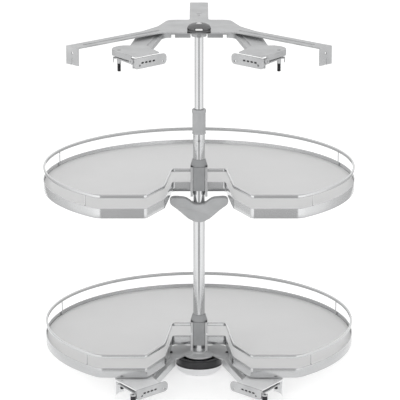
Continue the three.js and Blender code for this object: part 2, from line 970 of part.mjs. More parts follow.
function trayOutline() {
  const { radius, centreBehindPost: cy, frontFillet, arcSteps, filletSteps } = tray;
  const filletY = trayFrontY + frontFillet;
  const filletX = Math.sqrt((radius - frontFillet) ** 2 - (filletY - cy) ** 2);
  const blend = Math.atan2(filletY - cy, filletX);
  const rightFillet = arc(filletX, filletY, frontFillet, -Math.PI / 2, blend, filletSteps);
  const round = arc(0, cy, radius, blend, Math.PI - blend, arcSteps);
  const leftFillet = rightFillet.map(([x, y]) => [-x, y]).reverse();
  const notch = [
    [-tray.mouthHalf, trayFrontY, tray.mouthFillet],
    [-tray.throatHalf, tray.throatY, tray.throatFillet],
    [-tray.backHalf, notchBackY, tray.backFillet],
  ];
  const corners = [...notch, ...notch.map(([x, y, r]) => [-x, y, r]).reverse()];
  const line = corners.flatMap((corner, i) => {
    const before = corners[i - 1] ?? [-filletX, trayFrontY];
    const after = corners[i + 1] ?? [filletX, trayFrontY];
    return roundedCorner(before, corner, after, filletSteps);
  });
  return [...rightFillet, ...round.slice(1, -1), ...leftFillet, ...line];
}

// The channel wraps the post, and the tray starts behind the channel.
const channelBackY = post.outerRadius + seat + hubBracket.sheet;
const notchBackY = channelBackY + seat;
const trayFrontY = tray.centreBehindPost - tray.radius + tray.frontCut;
const outline = trayOutline();
const boardBottom = tray.ledgeThickness + seat;
const boardTop = boardBottom + tray.boardThickness;
const footTop = -seat;
const footBottom = footTop - hubBracket.sheet;

function footScrewPlaces() {
  return hubBracket.screwInsets.map((inset) => [0, channelBackY + inset]);
}

function screwHoles(radius, from, to) {
  return footScrewPlaces().map(([x, y]) => rod(radius, from, to, 12).translate(x, y, 0));
}

function board() {
  const edge = offset(outline, tray.bandWall + seat, true);
  const reach = footBottom + hubBracket.screwLength + seat;
  const holes = screwHoles(hubBracket.screwRadius + seat, boardBottom - 1, reach);
  return cut(prism(edge, boardBottom, boardTop), ...holes);
}

function band() {
  const { bandHeight, bandWall, bandLip, ledgeWidth, ledgeThickness } = tray;
  return sweepAround(outline, [
    [0, 0],
    [ledgeWidth, 0],
    [ledgeWidth, ledgeThickness],
    [bandWall, ledgeThickness],
    [bandWall, bandHeight - bandLip],
    [bandWall / 2, bandHeight],
    [0, bandHeight - bandLip],
  ]);
}

function railing() {
  const { width, height, centreHeight, wireRadius, wireInset } = rail;
  const flat = height * 0.28;
  const bar = sweepAround(outline, [
    [width * 0.22, centreHeight - height / 2],
    [width * 0.78, centreHeight - height / 2],
    [width, centreHeight - flat],
    [width, centreHeight + flat],
    [width * 0.78, centreHeight + height / 2],
    [width * 0.22, centreHeight + height / 2],
    [0, centreHeight + flat],
    [0, centreHeight - flat],
  ]);
  const reach = tray.radius - wireInset;
  const rearAngle = THREE.MathUtils.degToRad(rail.rearWireAngle);
  const frontAngle = Math.asin((trayFrontY + rail.frontWireInset - tray.centreBehindPost) / reach);
  const wires = [rearAngle, frontAngle].flatMap((angle) => {
    const y = tray.centreBehindPost + reach * Math.sin(angle);
    return [-1, 1].map((side) => {
      return rod(wireRadius, boardTop + seat, centreHeight, 10)
        .translate(side * reach * Math.cos(angle), y, 0);
    });
  });
  return join(bar, ...wires);
}

const flangeOuter = hubBracket.innerHalf + hubBracket.sheet;

function hubBracketForm() {
  const { sheet, innerHalf, frontY, lipHalf, height, footLength, footHalf } = hubBracket;
  const right = [
    [lipHalf, frontY],
    [lipHalf, frontY + sheet],
    [flangeOuter, frontY + sheet],
    [flangeOuter, channelBackY - 1.5],
    [flangeOuter - 1.5, channelBackY],
  ];
  const inside = [
    [-innerHalf, frontY],
    [-innerHalf, channelBackY - sheet],
    [innerHalf, channelBackY - sheet],
    [innerHalf, frontY],
  ];
  const channel = prism(
    [...right, ...right.map(([x, y]) => [-x, y]).reverse(), ...inside], footBottom, height,
  );
  const tongue = block([-footHalf, footHalf], [channelBackY - sheet, channelBackY + footLength],
    [footBottom, footTop]);
  const holes = screwHoles(hubBracket.screwRadius + seat, footBottom - 5, footTop + 5);
  return cut(join(channel, tongue), clampBoltHole(), ...holes);
}

const boltY = (hubBracket.frontY - post.outerRadius) / 2;

function clampBoltHole() {
  const { boltRadius, boltHeadRadius, boltHeight } = hubBracket;
  const shank = sideRod(boltRadius + seat, 60, [-30, boltY, boltHeight], 0, 12);
  const headRoom = [-1, 1].map((side) => {
    const from = side > 0 ? flangeOuter : -flangeOuter - 20;
    return sideRod(boltHeadRadius + seat, 20, [from, boltY, boltHeight], 0, 16);
  });
  return join(shank, ...headRoom);
}

function clampBolt() {
  const { boltRadius, boltHeadRadius, boltHeadHeight, boltHeight } = hubBracket;
  const outer = flangeOuter + seat + boltHeadHeight;
  const shank = sideRod(boltRadius, 2 * outer - 2, [1 - outer, boltY, boltHeight], 0, 12);
  const head = sideRod(boltHeadRadius, boltHeadHeight, [-outer, boltY, boltHeight], 0, 16);
  const nut = sideRod(boltHeadRadius, boltHeadHeight, [outer - boltHeadHeight, boltY, boltHeight], 0, 6);
  return join(shank, head, nut);
}

function clampInsert() {
  const { innerHalf, frontY, boltRadius, boltHeight, height } = hubBracket;
  const side = innerHalf - seat;
  const outlinePoints = [
    [-insert.halfWidth, frontY],
    [insert.halfWidth, frontY],
    [side, frontY + 1.5],
    [side, -6],
    [-side, -6],
    [-side, frontY + 1.5],
  ];
  const body = prism(outlinePoints, insert.bottom, height);
  const boltHole = sideRod(boltRadius + seat, 60, [-30, boltY, boltHeight], 0, 12);
  return cut(body, rod(post.outerRadius + seat, -5, height + 5, 24), boltHole);
}

function coneCollar() {
  const low = hubBracket.height + seat;
  const bore = post.outerRadius + seat;
  return revolve([
    [bore, low],
    [collar.baseRadius, low],
    [collar.baseRadius, low + collar.rim],
    [collar.topRadius, low + collar.height],
    [bore, low + collar.height],
  ]);
}

function footScrew() {
  const { screwRadius, screwHeadRadius, screwHeadHeight, screwLength } = hubBracket;
  const under = footBottom - seat;
  return revolve([
    [0, under - screwHeadHeight],
    [screwHeadRadius * 0.7, under - screwHeadHeight],
    [screwHeadRadius, under - screwHeadHeight * 0.4],
    [screwHeadRadius, under],
    [screwRadius, under],
    [screwRadius, under + screwLength],
    [0, under + screwLength],
  ], 14);
}

function trayGroup(prefix, height) {
  const screws = footScrewPlaces().map(([x, y], i) => {
    return piece(`${prefix}_foot_screw_${i + 1}`, footScrew(), brightSteel, [x, y, 0]);
  });
  return group(height,
    piece(`${prefix}_board`, board(), boardFoil),
    piece(`${prefix}_band`, band(), bandMetal),
    piece(`${prefix}_railing`, railing(), railChrome),
    piece(`${prefix}_hub_bracket`, hubBracketForm(), platedSteel),
    piece(`${prefix}_clamp_insert`, clampInsert(), darkPlastic),
    piece(`${prefix}_cone_collar`, coneCollar(), greyPlastic),
    piece(`${prefix}_clamp_bolt`, clampBolt(), brightSteel),
    ...screws,
  );
}

// ---------------------------------------------------------------- door brackets

const plateAngle = Math.PI / 4; // the doors stand at 45 degrees to the Y axis

// A point in plan from its place along the door plate and its distance behind the plate's face.
function behindPlate(along, back) {
  const unit = Math.SQRT1_2;
  return [
    doorPlate.middleX + (along - back) * unit,
    doorPlate.middleY + (along + back) * unit,
  ];
}

// Turns a form that is drawn with X along the plate and Y behind its face into place.
function toPlate(geometry) {
  return geometry.rotateZ(plateAngle).translate(doorPlate.middleX, doorPlate.middleY, 0);
}

function bodyOutline(setback) {
  const b = bracket;
  const back = doorPlate.thickness + setback;
  const tip = behindPlate(-doorPlate.leftLength + 4, back);
  const corner = behindPlate(doorPlate.rightLength - b.cornerInset, back);
  return { tip, corner, lobe: arc(b.lobeX, b.lobeY, b.lobeRadius, b.lobeFrom, b.lobeTo, 9) };
}

function bracketBody(spec) {
  const b = bracket;
  const { tip, corner, lobe } = bodyOutline(spec.frontSetback);
  const rest = roundedOutline([
    lobe[lobe.length - 1],
    [...tip, 3],
    [...corner, 5],
    [b.innerX, b.innerY, 8],
    [b.neckX, b.neckY, 8],
    lobe[0],
  ], 3);
  const sheet = prism([...lobe.slice(1, -1), ...rest], -b.sheet, 0);
  const skirtEnd = [tip[0] + (lobe[9][0] - tip[0]) * 0.25, tip[1] + (lobe[9][1] - tip[1]) * 0.25];
  const skirtLine = spec.tabDrop > 0 ? lobe.slice(0, 7) : [...lobe, skirtEnd];
  const parts = [sheet, wall(skirtLine, b.skirtWall, -spec.skirt, -b.sheet / 2)];
  if (spec.tabDrop > 0) {
    const tab = arc(b.lobeX, b.lobeY, b.lobeRadius, b.tabFrom, b.tabTo, 6);
    parts.push(wall(tab, b.skirtWall, -spec.skirt - spec.tabDrop, -b.sheet / 2));
  }
  if (spec.standX) {
    const [back, front] = [spec.standY[0], spec.standY[0] + b.sheet];
    const foot = seat - spec.rise;
    parts.push(block(spec.standX, spec.standY, [foot, foot + b.sheet]));
    parts.push(block(spec.standX, [back, front], [foot, -b.sheet / 2]));
  }
  const studHole = rod(stud.radius + seat, -2 * b.sheet, b.sheet, 16)
    .translate(stud.x, spec.studY, 0);
  return cut(join(...parts), studHole);
}

function doorPlateForm(spec) {
  const p = doorPlate;
  const left = -p.leftLength;
  const right = p.rightLength;
  const profile = new THREE.Shape();
  const points = roundedOutline([
    [left, 0, p.corner],
    [right, 0, p.corner],
    [right, p.height, p.corner],
    [left, p.height, 5],
  ], 4);
  profile.setFromPoints(points.map(([x, z]) => new THREE.Vector2(x, z)));
  for (const side of [-1, 1]) {
    const hole = new THREE.Path();
    hole.absarc((side * p.holeSpacing) / 2, p.holeHeight, p.holeRadius, 0, 2 * Math.PI, true);
    profile.holes.push(hole);
  }
  for (let i = 0; i < p.slotCount; i += 1) {
    const x = p.slotCentre + (i - (p.slotCount - 1) / 2) * p.slotPitch;
    const slot = new THREE.Path();
    const reach = p.slotHalfLength - p.slotRadius;
    slot.absarc(x + reach, p.slotHeight, p.slotRadius, -Math.PI / 2, Math.PI / 2, false);
    slot.absarc(x - reach, p.slotHeight, p.slotRadius, Math.PI / 2, 1.5 * Math.PI, false);
    profile.holes.push(slot);
  }
  const options = { depth: p.thickness, bevelEnabled: false, curveSegments: 4 };
  const plate = new THREE.ExtrudeGeometry(profile, options);
  plate.rotateX(Math.PI / 2).translate(0, p.thickness, spec.plateBottom);
  return toPlate(plate);
}

function carrierForm(spec) {
  const c = carrier;
  const low = spec.stripTop - c.sheet;
  const back = doorPlate.thickness + seat;
  const near = behindPlate(c.flangeFrom, back + c.sheet / 2);
  const far = behindPlate(-6, back + c.sheet / 2);
  const lugAt = [stud.x, spec.studY];
  const lug = rod(c.lugRadius, low, spec.stripTop, 18).translate(lugAt[0], lugAt[1], 0);
  const strip = prism([
    [lugAt[0] - 4, lugAt[1] - c.stripHalf],
    near,
    far,
    [lugAt[0] + 6, lugAt[1] + c.stripHalf],
  ], low, spec.stripTop);
  const flange = toPlate(block([c.flangeFrom, c.flangeTo], [back, back + c.sheet],
    [spec.flangeBottom, spec.flangeBottom + c.flangeHeight]));
  const nut = rod(c.nutRadius, spec.nutFrom - 0.2, spec.nutTo + 0.2, 6)
    .translate(lugAt[0], lugAt[1], 0);
  const parts = [lug, strip, flange, nut];
  if (spec.clipReach > 0) {
    const outer = lugAt[0] - c.lugRadius - spec.clipReach;
    parts.push(
      block([outer, lugAt[0]], [lugAt[1] - 6, lugAt[1] + 5], [low, spec.stripTop]),
      block([outer, outer + 2], [lugAt[1] - 6, lugAt[1] + 5], [low - c.tabDrop, low + 1]),
    );
  }
  const boreFrom = Math.min(spec.nutFrom, spec.stripTop - c.sheet) - c.sheet;
  const boreTo = Math.max(spec.nutTo, spec.stripTop) + c.sheet;
  const bore = rod(stud.radius + seat, boreFrom, boreTo, 16).translate(lugAt[0], lugAt[1], 0);
  if (spec.screwHeight === null) {
    const [x, y] = behindPlate(thumbScrew.alongPlate, thumbScrew.behindFace);
    parts.push(rod(thumbScrew.lugRadius, low, spec.stripTop, 16).translate(x, y, 0));
    parts.push(toPlate(block([thumbScrew.alongPlate, c.flangeFrom + 4], [back, back + 7],
      [low, spec.stripTop])));
    const lugHole = rod(thumbScrew.shankRadius + seat, low - 1, spec.stripTop + 1, 12);
    return cut(join(...parts), bore, lugHole.translate(x, y, 0));
  }
  const boss = toPlate(block([c.flangeFrom, c.flangeFrom + c.bossLength],
    [back, back + 2 * c.bossHalf], [spec.screwHeight - c.bossHalf, spec.screwHeight + c.bossHalf]));
  const screwHole = toPlate(sideRod(pivotScrew.shankRadius + seat, pivotScrew.shankLength + 1,
    [c.flangeFrom - 1, back + c.bossHalf, spec.screwHeight], 0, 12));
  return cut(join(...parts, boss), bore, screwHole);
}

function thumbScrewForm(spec) {
  const s = thumbScrew;
  const headTop = spec.stripTop - carrier.sheet - seat;
  const headBottom = headTop - s.headHeight;
  const [x, y] = behindPlate(s.alongPlate, s.behindFace);
  return revolve([
    [0, headBottom - s.tailLength],
    [s.tailRadius, headBottom - s.tailLength],
    [s.tailRadius, headBottom],
    [s.headRadius, headBottom + 1],
    [s.headRadius, headTop],
    [s.shankRadius, headTop],
    [s.shankRadius, spec.stripTop + 1],
    [0, spec.stripTop + 1],
  ], 18).translate(x, y, 0);
}

function pivotScrewForm(spec) {
  if (spec.screwHeight === null) {
    return thumbScrewForm(spec);
  }
  const s = pivotScrew;
  const back = doorPlate.thickness + seat + carrier.bossHalf;
  const headEnd = carrier.flangeFrom - seat;
  const shank = sideRod(s.shankRadius, s.shankLength + 1, [headEnd - 1, back, spec.screwHeight], 0, 12);
  const head = sideRod(s.headRadius, s.headHeight,
    [headEnd - s.headHeight, back, spec.screwHeight], 0, 18);
  return toPlate(join(shank, head));
}

function bracketGroup(level, spec, side) {
  const place = (geometry) => (side === 'left' ? geometry : mirrored(geometry));
  const studForm = rod(stud.radius, spec.studBottom, spec.studTop, 16)
    .translate(stud.x, spec.studY, 0);
  const name = `${level}_${side}`;
  const base = level === 'lower' ? bottomArmsTop : topArmsTop;
  return group(base + spec.rise,
    piece(`${name}_bracket_body`, place(bracketBody(spec)), platedSteel),
    piece(`${name}_carrier`, place(carrierForm(spec)), platedSteel),
    piece(`${name}_door_plate`, place(doorPlateForm(spec)), platedSteel),
    piece(`${name}_adjuster_stud`, place(studForm), blackSteel),
    piece(`${name}_pivot_screw`, place(pivotScrewForm(spec)),
      level === 'lower' ? blackSteel : platedSteel),
  );
}

// ---------------------------------------------------------------- whole fitting

const carousel = new THREE.Group();
carousel.add(
  footGroup,
  columnGroup,
  trayGroup('lower', trayLevels.lower),
  trayGroup('upper', trayLevels.upper),
  upperPostGroup,
  starGroup,
  bracketGroup('lower', lowerBracket, 'left'),
  bracketGroup('lower', lowerBracket, 'right'),
  bracketGroup('upper', upperBracket, 'left'),
  bracketGroup('upper', upperBracket, 'right'),
);

export default carousel;
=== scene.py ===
import json
import math

import bmesh
import bpy
from mathutils import Matrix, Vector


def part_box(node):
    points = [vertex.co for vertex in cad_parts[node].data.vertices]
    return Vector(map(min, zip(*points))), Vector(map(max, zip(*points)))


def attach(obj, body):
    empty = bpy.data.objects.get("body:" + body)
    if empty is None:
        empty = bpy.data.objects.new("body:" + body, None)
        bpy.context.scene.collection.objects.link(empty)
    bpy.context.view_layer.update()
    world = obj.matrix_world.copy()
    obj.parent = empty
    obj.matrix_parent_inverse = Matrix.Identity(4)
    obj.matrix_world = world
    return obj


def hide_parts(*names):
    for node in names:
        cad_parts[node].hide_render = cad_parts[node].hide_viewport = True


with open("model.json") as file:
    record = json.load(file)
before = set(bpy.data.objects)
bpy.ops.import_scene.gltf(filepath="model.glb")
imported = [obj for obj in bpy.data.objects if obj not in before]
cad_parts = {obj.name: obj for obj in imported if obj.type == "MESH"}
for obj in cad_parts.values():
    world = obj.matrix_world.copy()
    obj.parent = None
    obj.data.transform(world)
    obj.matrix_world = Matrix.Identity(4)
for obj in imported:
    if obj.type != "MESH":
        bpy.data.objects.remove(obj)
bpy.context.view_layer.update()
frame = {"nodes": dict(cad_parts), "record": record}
nodes = frame["nodes"]
print("frame loaded with", len(nodes), "nodes")

mm = 0.001

# camera: fitted to the tray rims and the rail outlines

photoCamera = {
    "distance": 5.2212,
    "height": 1.8386,
    "pitch": 15.26,  # degrees below the horizon
    "lens": 212.16,
    "sensor": 36,
    "shiftX": 0.0025,
    "nearest": 0.1,
    "farthest": 40,
}


def makeCamera(settings):
    data = bpy.data.cameras.new("photoCamera")
    data.sensor_width = settings["sensor"]
    data.lens = settings["lens"]
    data.shift_x = settings["shiftX"]
    data.clip_start = settings["nearest"]
    data.clip_end = settings["farthest"]
    camera = bpy.data.objects.new("photoCamera", data)
    camera.location = (0, -settings["distance"], settings["height"])
    camera.rotation_euler = (math.radians(90 - settings["pitch"]), 0, 0)
    bpy.context.scene.collection.objects.link(camera)
    bpy.context.scene.camera = camera


makeCamera(photoCamera)

# studio light: the world gives the reflections, two area lights the soft shadows

studio = {
    "ring": [  # brightness just below the horizon, from the camera's side (0) to behind (1)
        (0.0, 0.58), (0.08, 0.60), (0.14, 1.50), (0.40, 1.40), (0.56, 1.15), (0.65, 0.88),
        (0.75, 0.72), (0.84, 0.54), (0.92, 0.60), (1.0, 0.70),
    ],
    "above": 1.08,
    "overhead": 0.5,
    "below": 0.5,
    "aboveFrom": (0.0, 0.14),  # heights of the view direction where each light begins and is full
    "overheadFrom": (0.60, 0.85),
    "belowFrom": (-0.30, -0.60),
    "strength": 1.0,
    "backdrop": 1.0,
}
lamps = {
    "softbox": {"at": (0, 0.2, 3.2), "towards": (0, 0.2, 0), "size": (2.6, 2.6), "power": 7},
    "keyLight": {"at": (-0.8, -3.2, 1.4), "towards": (0, 0, 0.3), "size": (2.2, 1.0), "power": 22},
}


def areaLight(name, settings):
    data = bpy.data.lights.new(name, "AREA")
    data.shape = "RECTANGLE"
    data.size, data.size_y = settings["size"]
    data.energy = settings["power"]
    light = bpy.data.objects.new(name, data)
    light.location = settings["at"]
    direction = Vector(settings["towards"]) - Vector(settings["at"])
    light.rotation_euler = direction.to_track_quat("-Z", "Y").to_euler()
    light.visible_glossy = False
    bpy.context.scene.collection.objects.link(light)


def mathNode(tree, operation, first, second=None):
    node = tree.nodes.new("ShaderNodeMath")
    node.operation = operation
    for i, value in enumerate((first, second)):
        if value is None:
            continue
        if isinstance(value, (int, float)):
            node.inputs[i].default_value = value
        else:
            tree.links.new(value, node.inputs[i])
    return node.outputs[0]


def ease(tree, value, start, end):
    node = tree.nodes.new("ShaderNodeMapRange")
    node.interpolation_type = "SMOOTHSTEP"
    node.inputs["From Min"].default_value = min(start, end)
    node.inputs["From Max"].default_value = max(start, end)
    node.inputs["To Min"].default_value = 0.0 if start < end else 1.0
    node.inputs["To Max"].default_value = 1.0 if start < end else 0.0
    tree.links.new(value, node.inputs["Value"])
    return node.outputs["Result"]


def blend(tree, amount, first, second):
    node = tree.nodes.new("ShaderNodeMix")
    tree.links.new(amount, node.inputs[0])
    tree.links.new(first, node.inputs[2])
    node.inputs[3].default_value = second
    return node.outputs[0]


def makeStudio(settings):
    world = bpy.data.worlds.new("studio")
    bpy.context.scene.world = world
    world.use_nodes = True
    tree = world.node_tree
    background = tree.nodes["Background"]
    background.inputs["Strength"].default_value = settings["strength"]
    place = tree.nodes.new("ShaderNodeTexCoord")
    split = tree.nodes.new("ShaderNodeSeparateXYZ")
    tree.links.new(place.outputs["Generated"], split.inputs[0])
    across = mathNode(tree, "ABSOLUTE", split.outputs["X"])
    towards = mathNode(tree, "MULTIPLY", split.outputs["Y"], -1.0)
    around = mathNode(tree, "DIVIDE", mathNode(tree, "ARCTAN2", across, towards), math.pi)
    ramp = tree.nodes.new("ShaderNodeValToRGB")
    ramp.color_ramp.interpolation = "EASE"
    tree.links.new(around, ramp.inputs["Fac"])
    stops = ramp.color_ramp.elements
    while len(stops) > 1:
        stops.remove(stops[-1])
    for i, (position, grey) in enumerate(settings["ring"]):
        stop = stops[0] if i == 0 else stops.new(position)
        stop.position = position
        stop.color = (grey, grey, grey, 1)
    plain = tree.nodes.new("ShaderNodeSeparateColor")
    tree.links.new(ramp.outputs["Color"], plain.inputs[0])
    level = ease(tree, split.outputs["Z"], *settings["aboveFrom"])
    over = ease(tree, split.outputs["Z"], *settings["overheadFrom"])
    under = ease(tree, split.outputs["Z"], *settings["belowFrom"])
    light = blend(tree, level, plain.outputs[0], settings["above"])
    light = blend(tree, over, light, settings["overhead"])
    light = blend(tree, under, light, settings["below"])
    seen = tree.nodes.new("ShaderNodeLightPath")
    backdrop = blend(tree, seen.outputs["Is Camera Ray"], light, settings["backdrop"])
    tree.links.new(backdrop, background.inputs["Color"])


makeStudio(studio)
for name, lamp in lamps.items():
    areaLight(name, lamp)
print("camera and studio made")

# shader groups that every finish uses

grain = {"lineDetail": 3, "cloudDetail": 4}
wear = {"radius": 0.0006, "breakUp": 160.0, "samples": 4, "gain": 5.0}


def newGroup(name, inputs, outputs):
    group = bpy.data.node_groups.new(name, "ShaderNodeTree")
    for label, kind, value in inputs:
        socket = group.interface.new_socket(label, in_out="INPUT", socket_type=kind)
        if value is not None:
            socket.default_value = value
    for label, kind in outputs:
        group.interface.new_socket(label, in_out="OUTPUT", socket_type=kind)
    return group, group.nodes.new("NodeGroupInput"), group.nodes.new("NodeGroupOutput")


def grainGroup():
    group, given, out = newGroup(
        "drawnGrain",
        [("Stretch", "NodeSocketVector", (1, 1, 1)), ("Scale", "NodeSocketFloat", 900.0),
         ("Cloud scale", "NodeSocketFloat", 14.0), ("Roughness", "NodeSocketFloat", 0.3),
         ("Roughness spread", "NodeSocketFloat", 0.08)],
        [("Roughness", "NodeSocketFloat"), ("Height", "NodeSocketFloat"),
         ("Cloud", "NodeSocketFloat")],
    )
    place = group.nodes.new("ShaderNodeTexCoord")
    stretch = group.nodes.new("ShaderNodeVectorMath")
    stretch.operation = "MULTIPLY"
    group.links.new(place.outputs["Object"], stretch.inputs[0])
    group.links.new(given.outputs["Stretch"], stretch.inputs[1])
    lines = group.nodes.new("ShaderNodeTexNoise")
    lines.inputs["Detail"].default_value = grain["lineDetail"]
    group.links.new(stretch.outputs[0], lines.inputs["Vector"])
    group.links.new(given.outputs["Scale"], lines.inputs["Scale"])
    cloud = group.nodes.new("ShaderNodeTexNoise")
    cloud.inputs["Detail"].default_value = grain["cloudDetail"]
    group.links.new(place.outputs["Object"], cloud.inputs["Vector"])
    group.links.new(given.outputs["Cloud scale"], cloud.inputs["Scale"])
    mixed = mathNode(group, "ADD", lines.outputs["Fac"], cloud.outputs["Fac"])
    centred = mathNode(group, "SUBTRACT", mixed, 1.0)
    spread = mathNode(group, "MULTIPLY", centred, given.outputs["Roughness spread"])
    rough = mathNode(group, "ADD", spread, given.outputs["Roughness"])
    group.links.new(rough, out.inputs["Roughness"])
    group.links.new(lines.outputs["Fac"], out.inputs["Height"])
    group.links.new(cloud.outputs["Fac"], out.inputs["Cloud"])
    return group


def wearGroup():
    group, given, out = newGroup(
        "edgeWear",
        [("Radius", "NodeSocketFloat", wear["radius"]), ("Amount", "NodeSocketFloat", 0.5),
         ("Break up scale", "NodeSocketFloat", wear["breakUp"])],
        [("Mask", "NodeSocketFloat")],
    )
    bevel = group.nodes.new("ShaderNodeBevel")
    bevel.samples = wear["samples"]
    group.links.new(given.outputs["Radius"], bevel.inputs["Radius"])
    surface = group.nodes.new("ShaderNodeNewGeometry")
    dot = group.nodes.new("ShaderNodeVectorMath")
    dot.operation = "DOT_PRODUCT"
    group.links.new(bevel.outputs[0], dot.inputs[0])
    group.links.new(surface.outputs["Normal"], dot.inputs[1])
    edge = mathNode(group, "SUBTRACT", 1.0, dot.outputs["Value"])
    edge = mathNode(group, "MULTIPLY", edge, wear["gain"])
    place = group.nodes.new("ShaderNodeTexCoord")
    spots = group.nodes.new("ShaderNodeTexNoise")
    group.links.new(place.outputs["Object"], spots.inputs["Vector"])
    group.links.new(given.outputs["Break up scale"], spots.inputs["Scale"])
    broken = mathNode(group, "MULTIPLY", edge, spots.outputs["Fac"])
    amount = mathNode(group, "MULTIPLY", broken, given.outputs["Amount"])
    limited = mathNode(group, "MINIMUM", amount, 1.0)
    group.links.new(limited, out.inputs["Mask"])
    return group


drawnGrain = grainGroup()
edgeWear = wearGroup()

# finishes: cloud is how far the colour wanders, worn is the colour on the edges

finishes = {
    "platedSteel": {
        "colour": (0.48, 0.485, 0.49), "worn": (0.62, 0.62, 0.62),
        "metal": 0.5, "roughness": 0.42, "spread": 0.12, "stretch": (1, 1, 1),
        "scale": 500, "cloudScale": 22, "cloud": 0.06, "bump": 0.05, "wear": 0.5,
    },
    # painted light: a lighter copy of platedSteel for plate that sits in the trays' shade
    "paintedLitPlate": {
        "colour": (0.64, 0.645, 0.65), "worn": (0.76, 0.76, 0.76),
        "metal": 0.4, "roughness": 0.42, "spread": 0.12, "stretch": (1, 1, 1),
        "scale": 500, "cloudScale": 22, "cloud": 0.06, "bump": 0.05, "wear": 0.5,
    },
    # painted light: a much lighter copy of platedSteel for the lower bracket bodies under the lower
    # tray
    "paintedBrightLitPlate": {
        "colour": (0.82, 0.825, 0.83), "worn": (0.88, 0.88, 0.88),
        "metal": 0.3, "roughness": 0.42, "spread": 0.12, "stretch": (1, 1, 1),
        "scale": 500, "cloudScale": 22, "cloud": 0.06, "bump": 0.05, "wear": 0.5,
    },
    "armSteel": {
        "colour": (0.41, 0.415, 0.42), "worn": (0.58, 0.58, 0.58),
        "metal": 0.6, "roughness": 0.36, "spread": 0.12, "stretch": (1, 1, 1),
        "scale": 520, "cloudScale": 18, "cloud": 0.04, "bump": 0.05, "wear": 0.4,
    },
    # painted highlight: the pale block set into the bearing housing's window
    "highlightPaint": {
        "colour": (0.88, 0.88, 0.88), "worn": (0.8, 0.8, 0.8),
        "metal": 0.0, "roughness": 0.4, "spread": 0.1, "stretch": (1, 1, 1),
        "scale": 900, "cloudScale": 40, "cloud": 0.02, "bump": 0.03, "wear": 0.1,
    },
    "satinTube": {
        "colour": (0.56, 0.565, 0.57), "worn": (0.66, 0.66, 0.66),
        "metal": 1.0, "roughness": 0.17, "spread": 0.08, "stretch": (1, 1, 0.02),
        "scale": 2600, "cloudScale": 9, "cloud": 0.03, "bump": 0.04, "wear": 0.2,
    },
    "railChrome": {
        "colour": (0.60, 0.605, 0.61), "worn": (0.66, 0.66, 0.66),
        "metal": 1.0, "roughness": 0.13, "spread": 0.04, "stretch": (1, 1, 1),
        "scale": 300, "cloudScale": 12, "cloud": 0.02, "bump": 0.01, "wear": 0.1,
    },
    "bandMetal": {
        "colour": (0.58, 0.585, 0.59), "worn": (0.72, 0.72, 0.72),
        "metal": 0.85, "roughness": 0.17, "spread": 0.1, "stretch": (1, 1, 9),
        "scale": 420, "cloudScale": 7, "cloud": 0.03, "bump": 0.03, "wear": 0.3,
    },
    # painted shade: a darker copy of bandMetal for the lower tray's band
    "shadedBand": {
        "colour": (0.50, 0.505, 0.51), "worn": (0.64, 0.64, 0.64),
        "metal": 0.85, "roughness": 0.17, "spread": 0.1, "stretch": (1, 1, 9),
        "scale": 420, "cloudScale": 7, "cloud": 0.03, "bump": 0.03, "wear": 0.3,
    },
    "boardFoil": {
        "colour": (0.70, 0.70, 0.70), "worn": (0.76, 0.76, 0.76),
        "metal": 0.0, "roughness": 0.42, "spread": 0.1, "stretch": (1, 1, 1),
        "scale": 1500, "cloudScale": 5, "cloud": 0.02, "bump": 0.03, "wear": 0.1,
    },
    "greyPlastic": {
        "colour": (0.38, 0.385, 0.39), "worn": (0.50, 0.50, 0.50),
        "metal": 0.0, "roughness": 0.45, "spread": 0.12, "stretch": (1, 1, 1),
        "scale": 1900, "cloudScale": 30, "cloud": 0.03, "bump": 0.06, "wear": 0.25,
    },
    "darkPlastic": {
        "colour": (0.26, 0.265, 0.27), "worn": (0.36, 0.36, 0.36),
        "metal": 0.0, "roughness": 0.5, "spread": 0.12, "stretch": (1, 1, 1),
        "scale": 1900, "cloudScale": 30, "cloud": 0.03, "bump": 0.08, "wear": 0.25,
    },
    "blackPlastic": {
        "colour": (0.016, 0.016, 0.018), "worn": (0.06, 0.06, 0.06),
        "metal": 0.0, "roughness": 0.38, "spread": 0.12, "stretch": (1, 1, 1),
        "scale": 1700, "cloudScale": 30, "cloud": 0.004, "bump": 0.06, "wear": 0.25,
    },
    "housingPlastic": {
        "colour": (0.13, 0.13, 0.133), "worn": (0.19, 0.19, 0.19),
        "metal": 0.0, "roughness": 0.42, "spread": 0.12, "stretch": (1, 1, 1),
        "scale": 1700, "cloudScale": 30, "cloud": 0.01, "bump": 0.06, "wear": 0.25,
    },
    "blackSteel": {
        "colour": (0.03, 0.03, 0.033), "worn": (0.25, 0.25, 0.25),
        "metal": 0.6, "roughness": 0.36, "spread": 0.12, "stretch": (1, 1, 1),
        "scale": 1200, "cloudScale": 60, "cloud": 0.01, "bump": 0.05, "wear": 0.4,
    },
    "brightSteel": {
        "colour": (0.74, 0.74, 0.75), "worn": (0.84, 0.84, 0.84),
        "metal": 1.0, "roughness": 0.12, "spread": 0.05, "stretch": (1, 1, 4),
        "scale": 600, "cloudScale": 16, "cloud": 0.02, "bump": 0.02, "wear": 0.2,
    },
}
cloudRange = (0.3, 0.7)  # where the cloud's dark ends and its light begins
bumpHeight = 0.0004


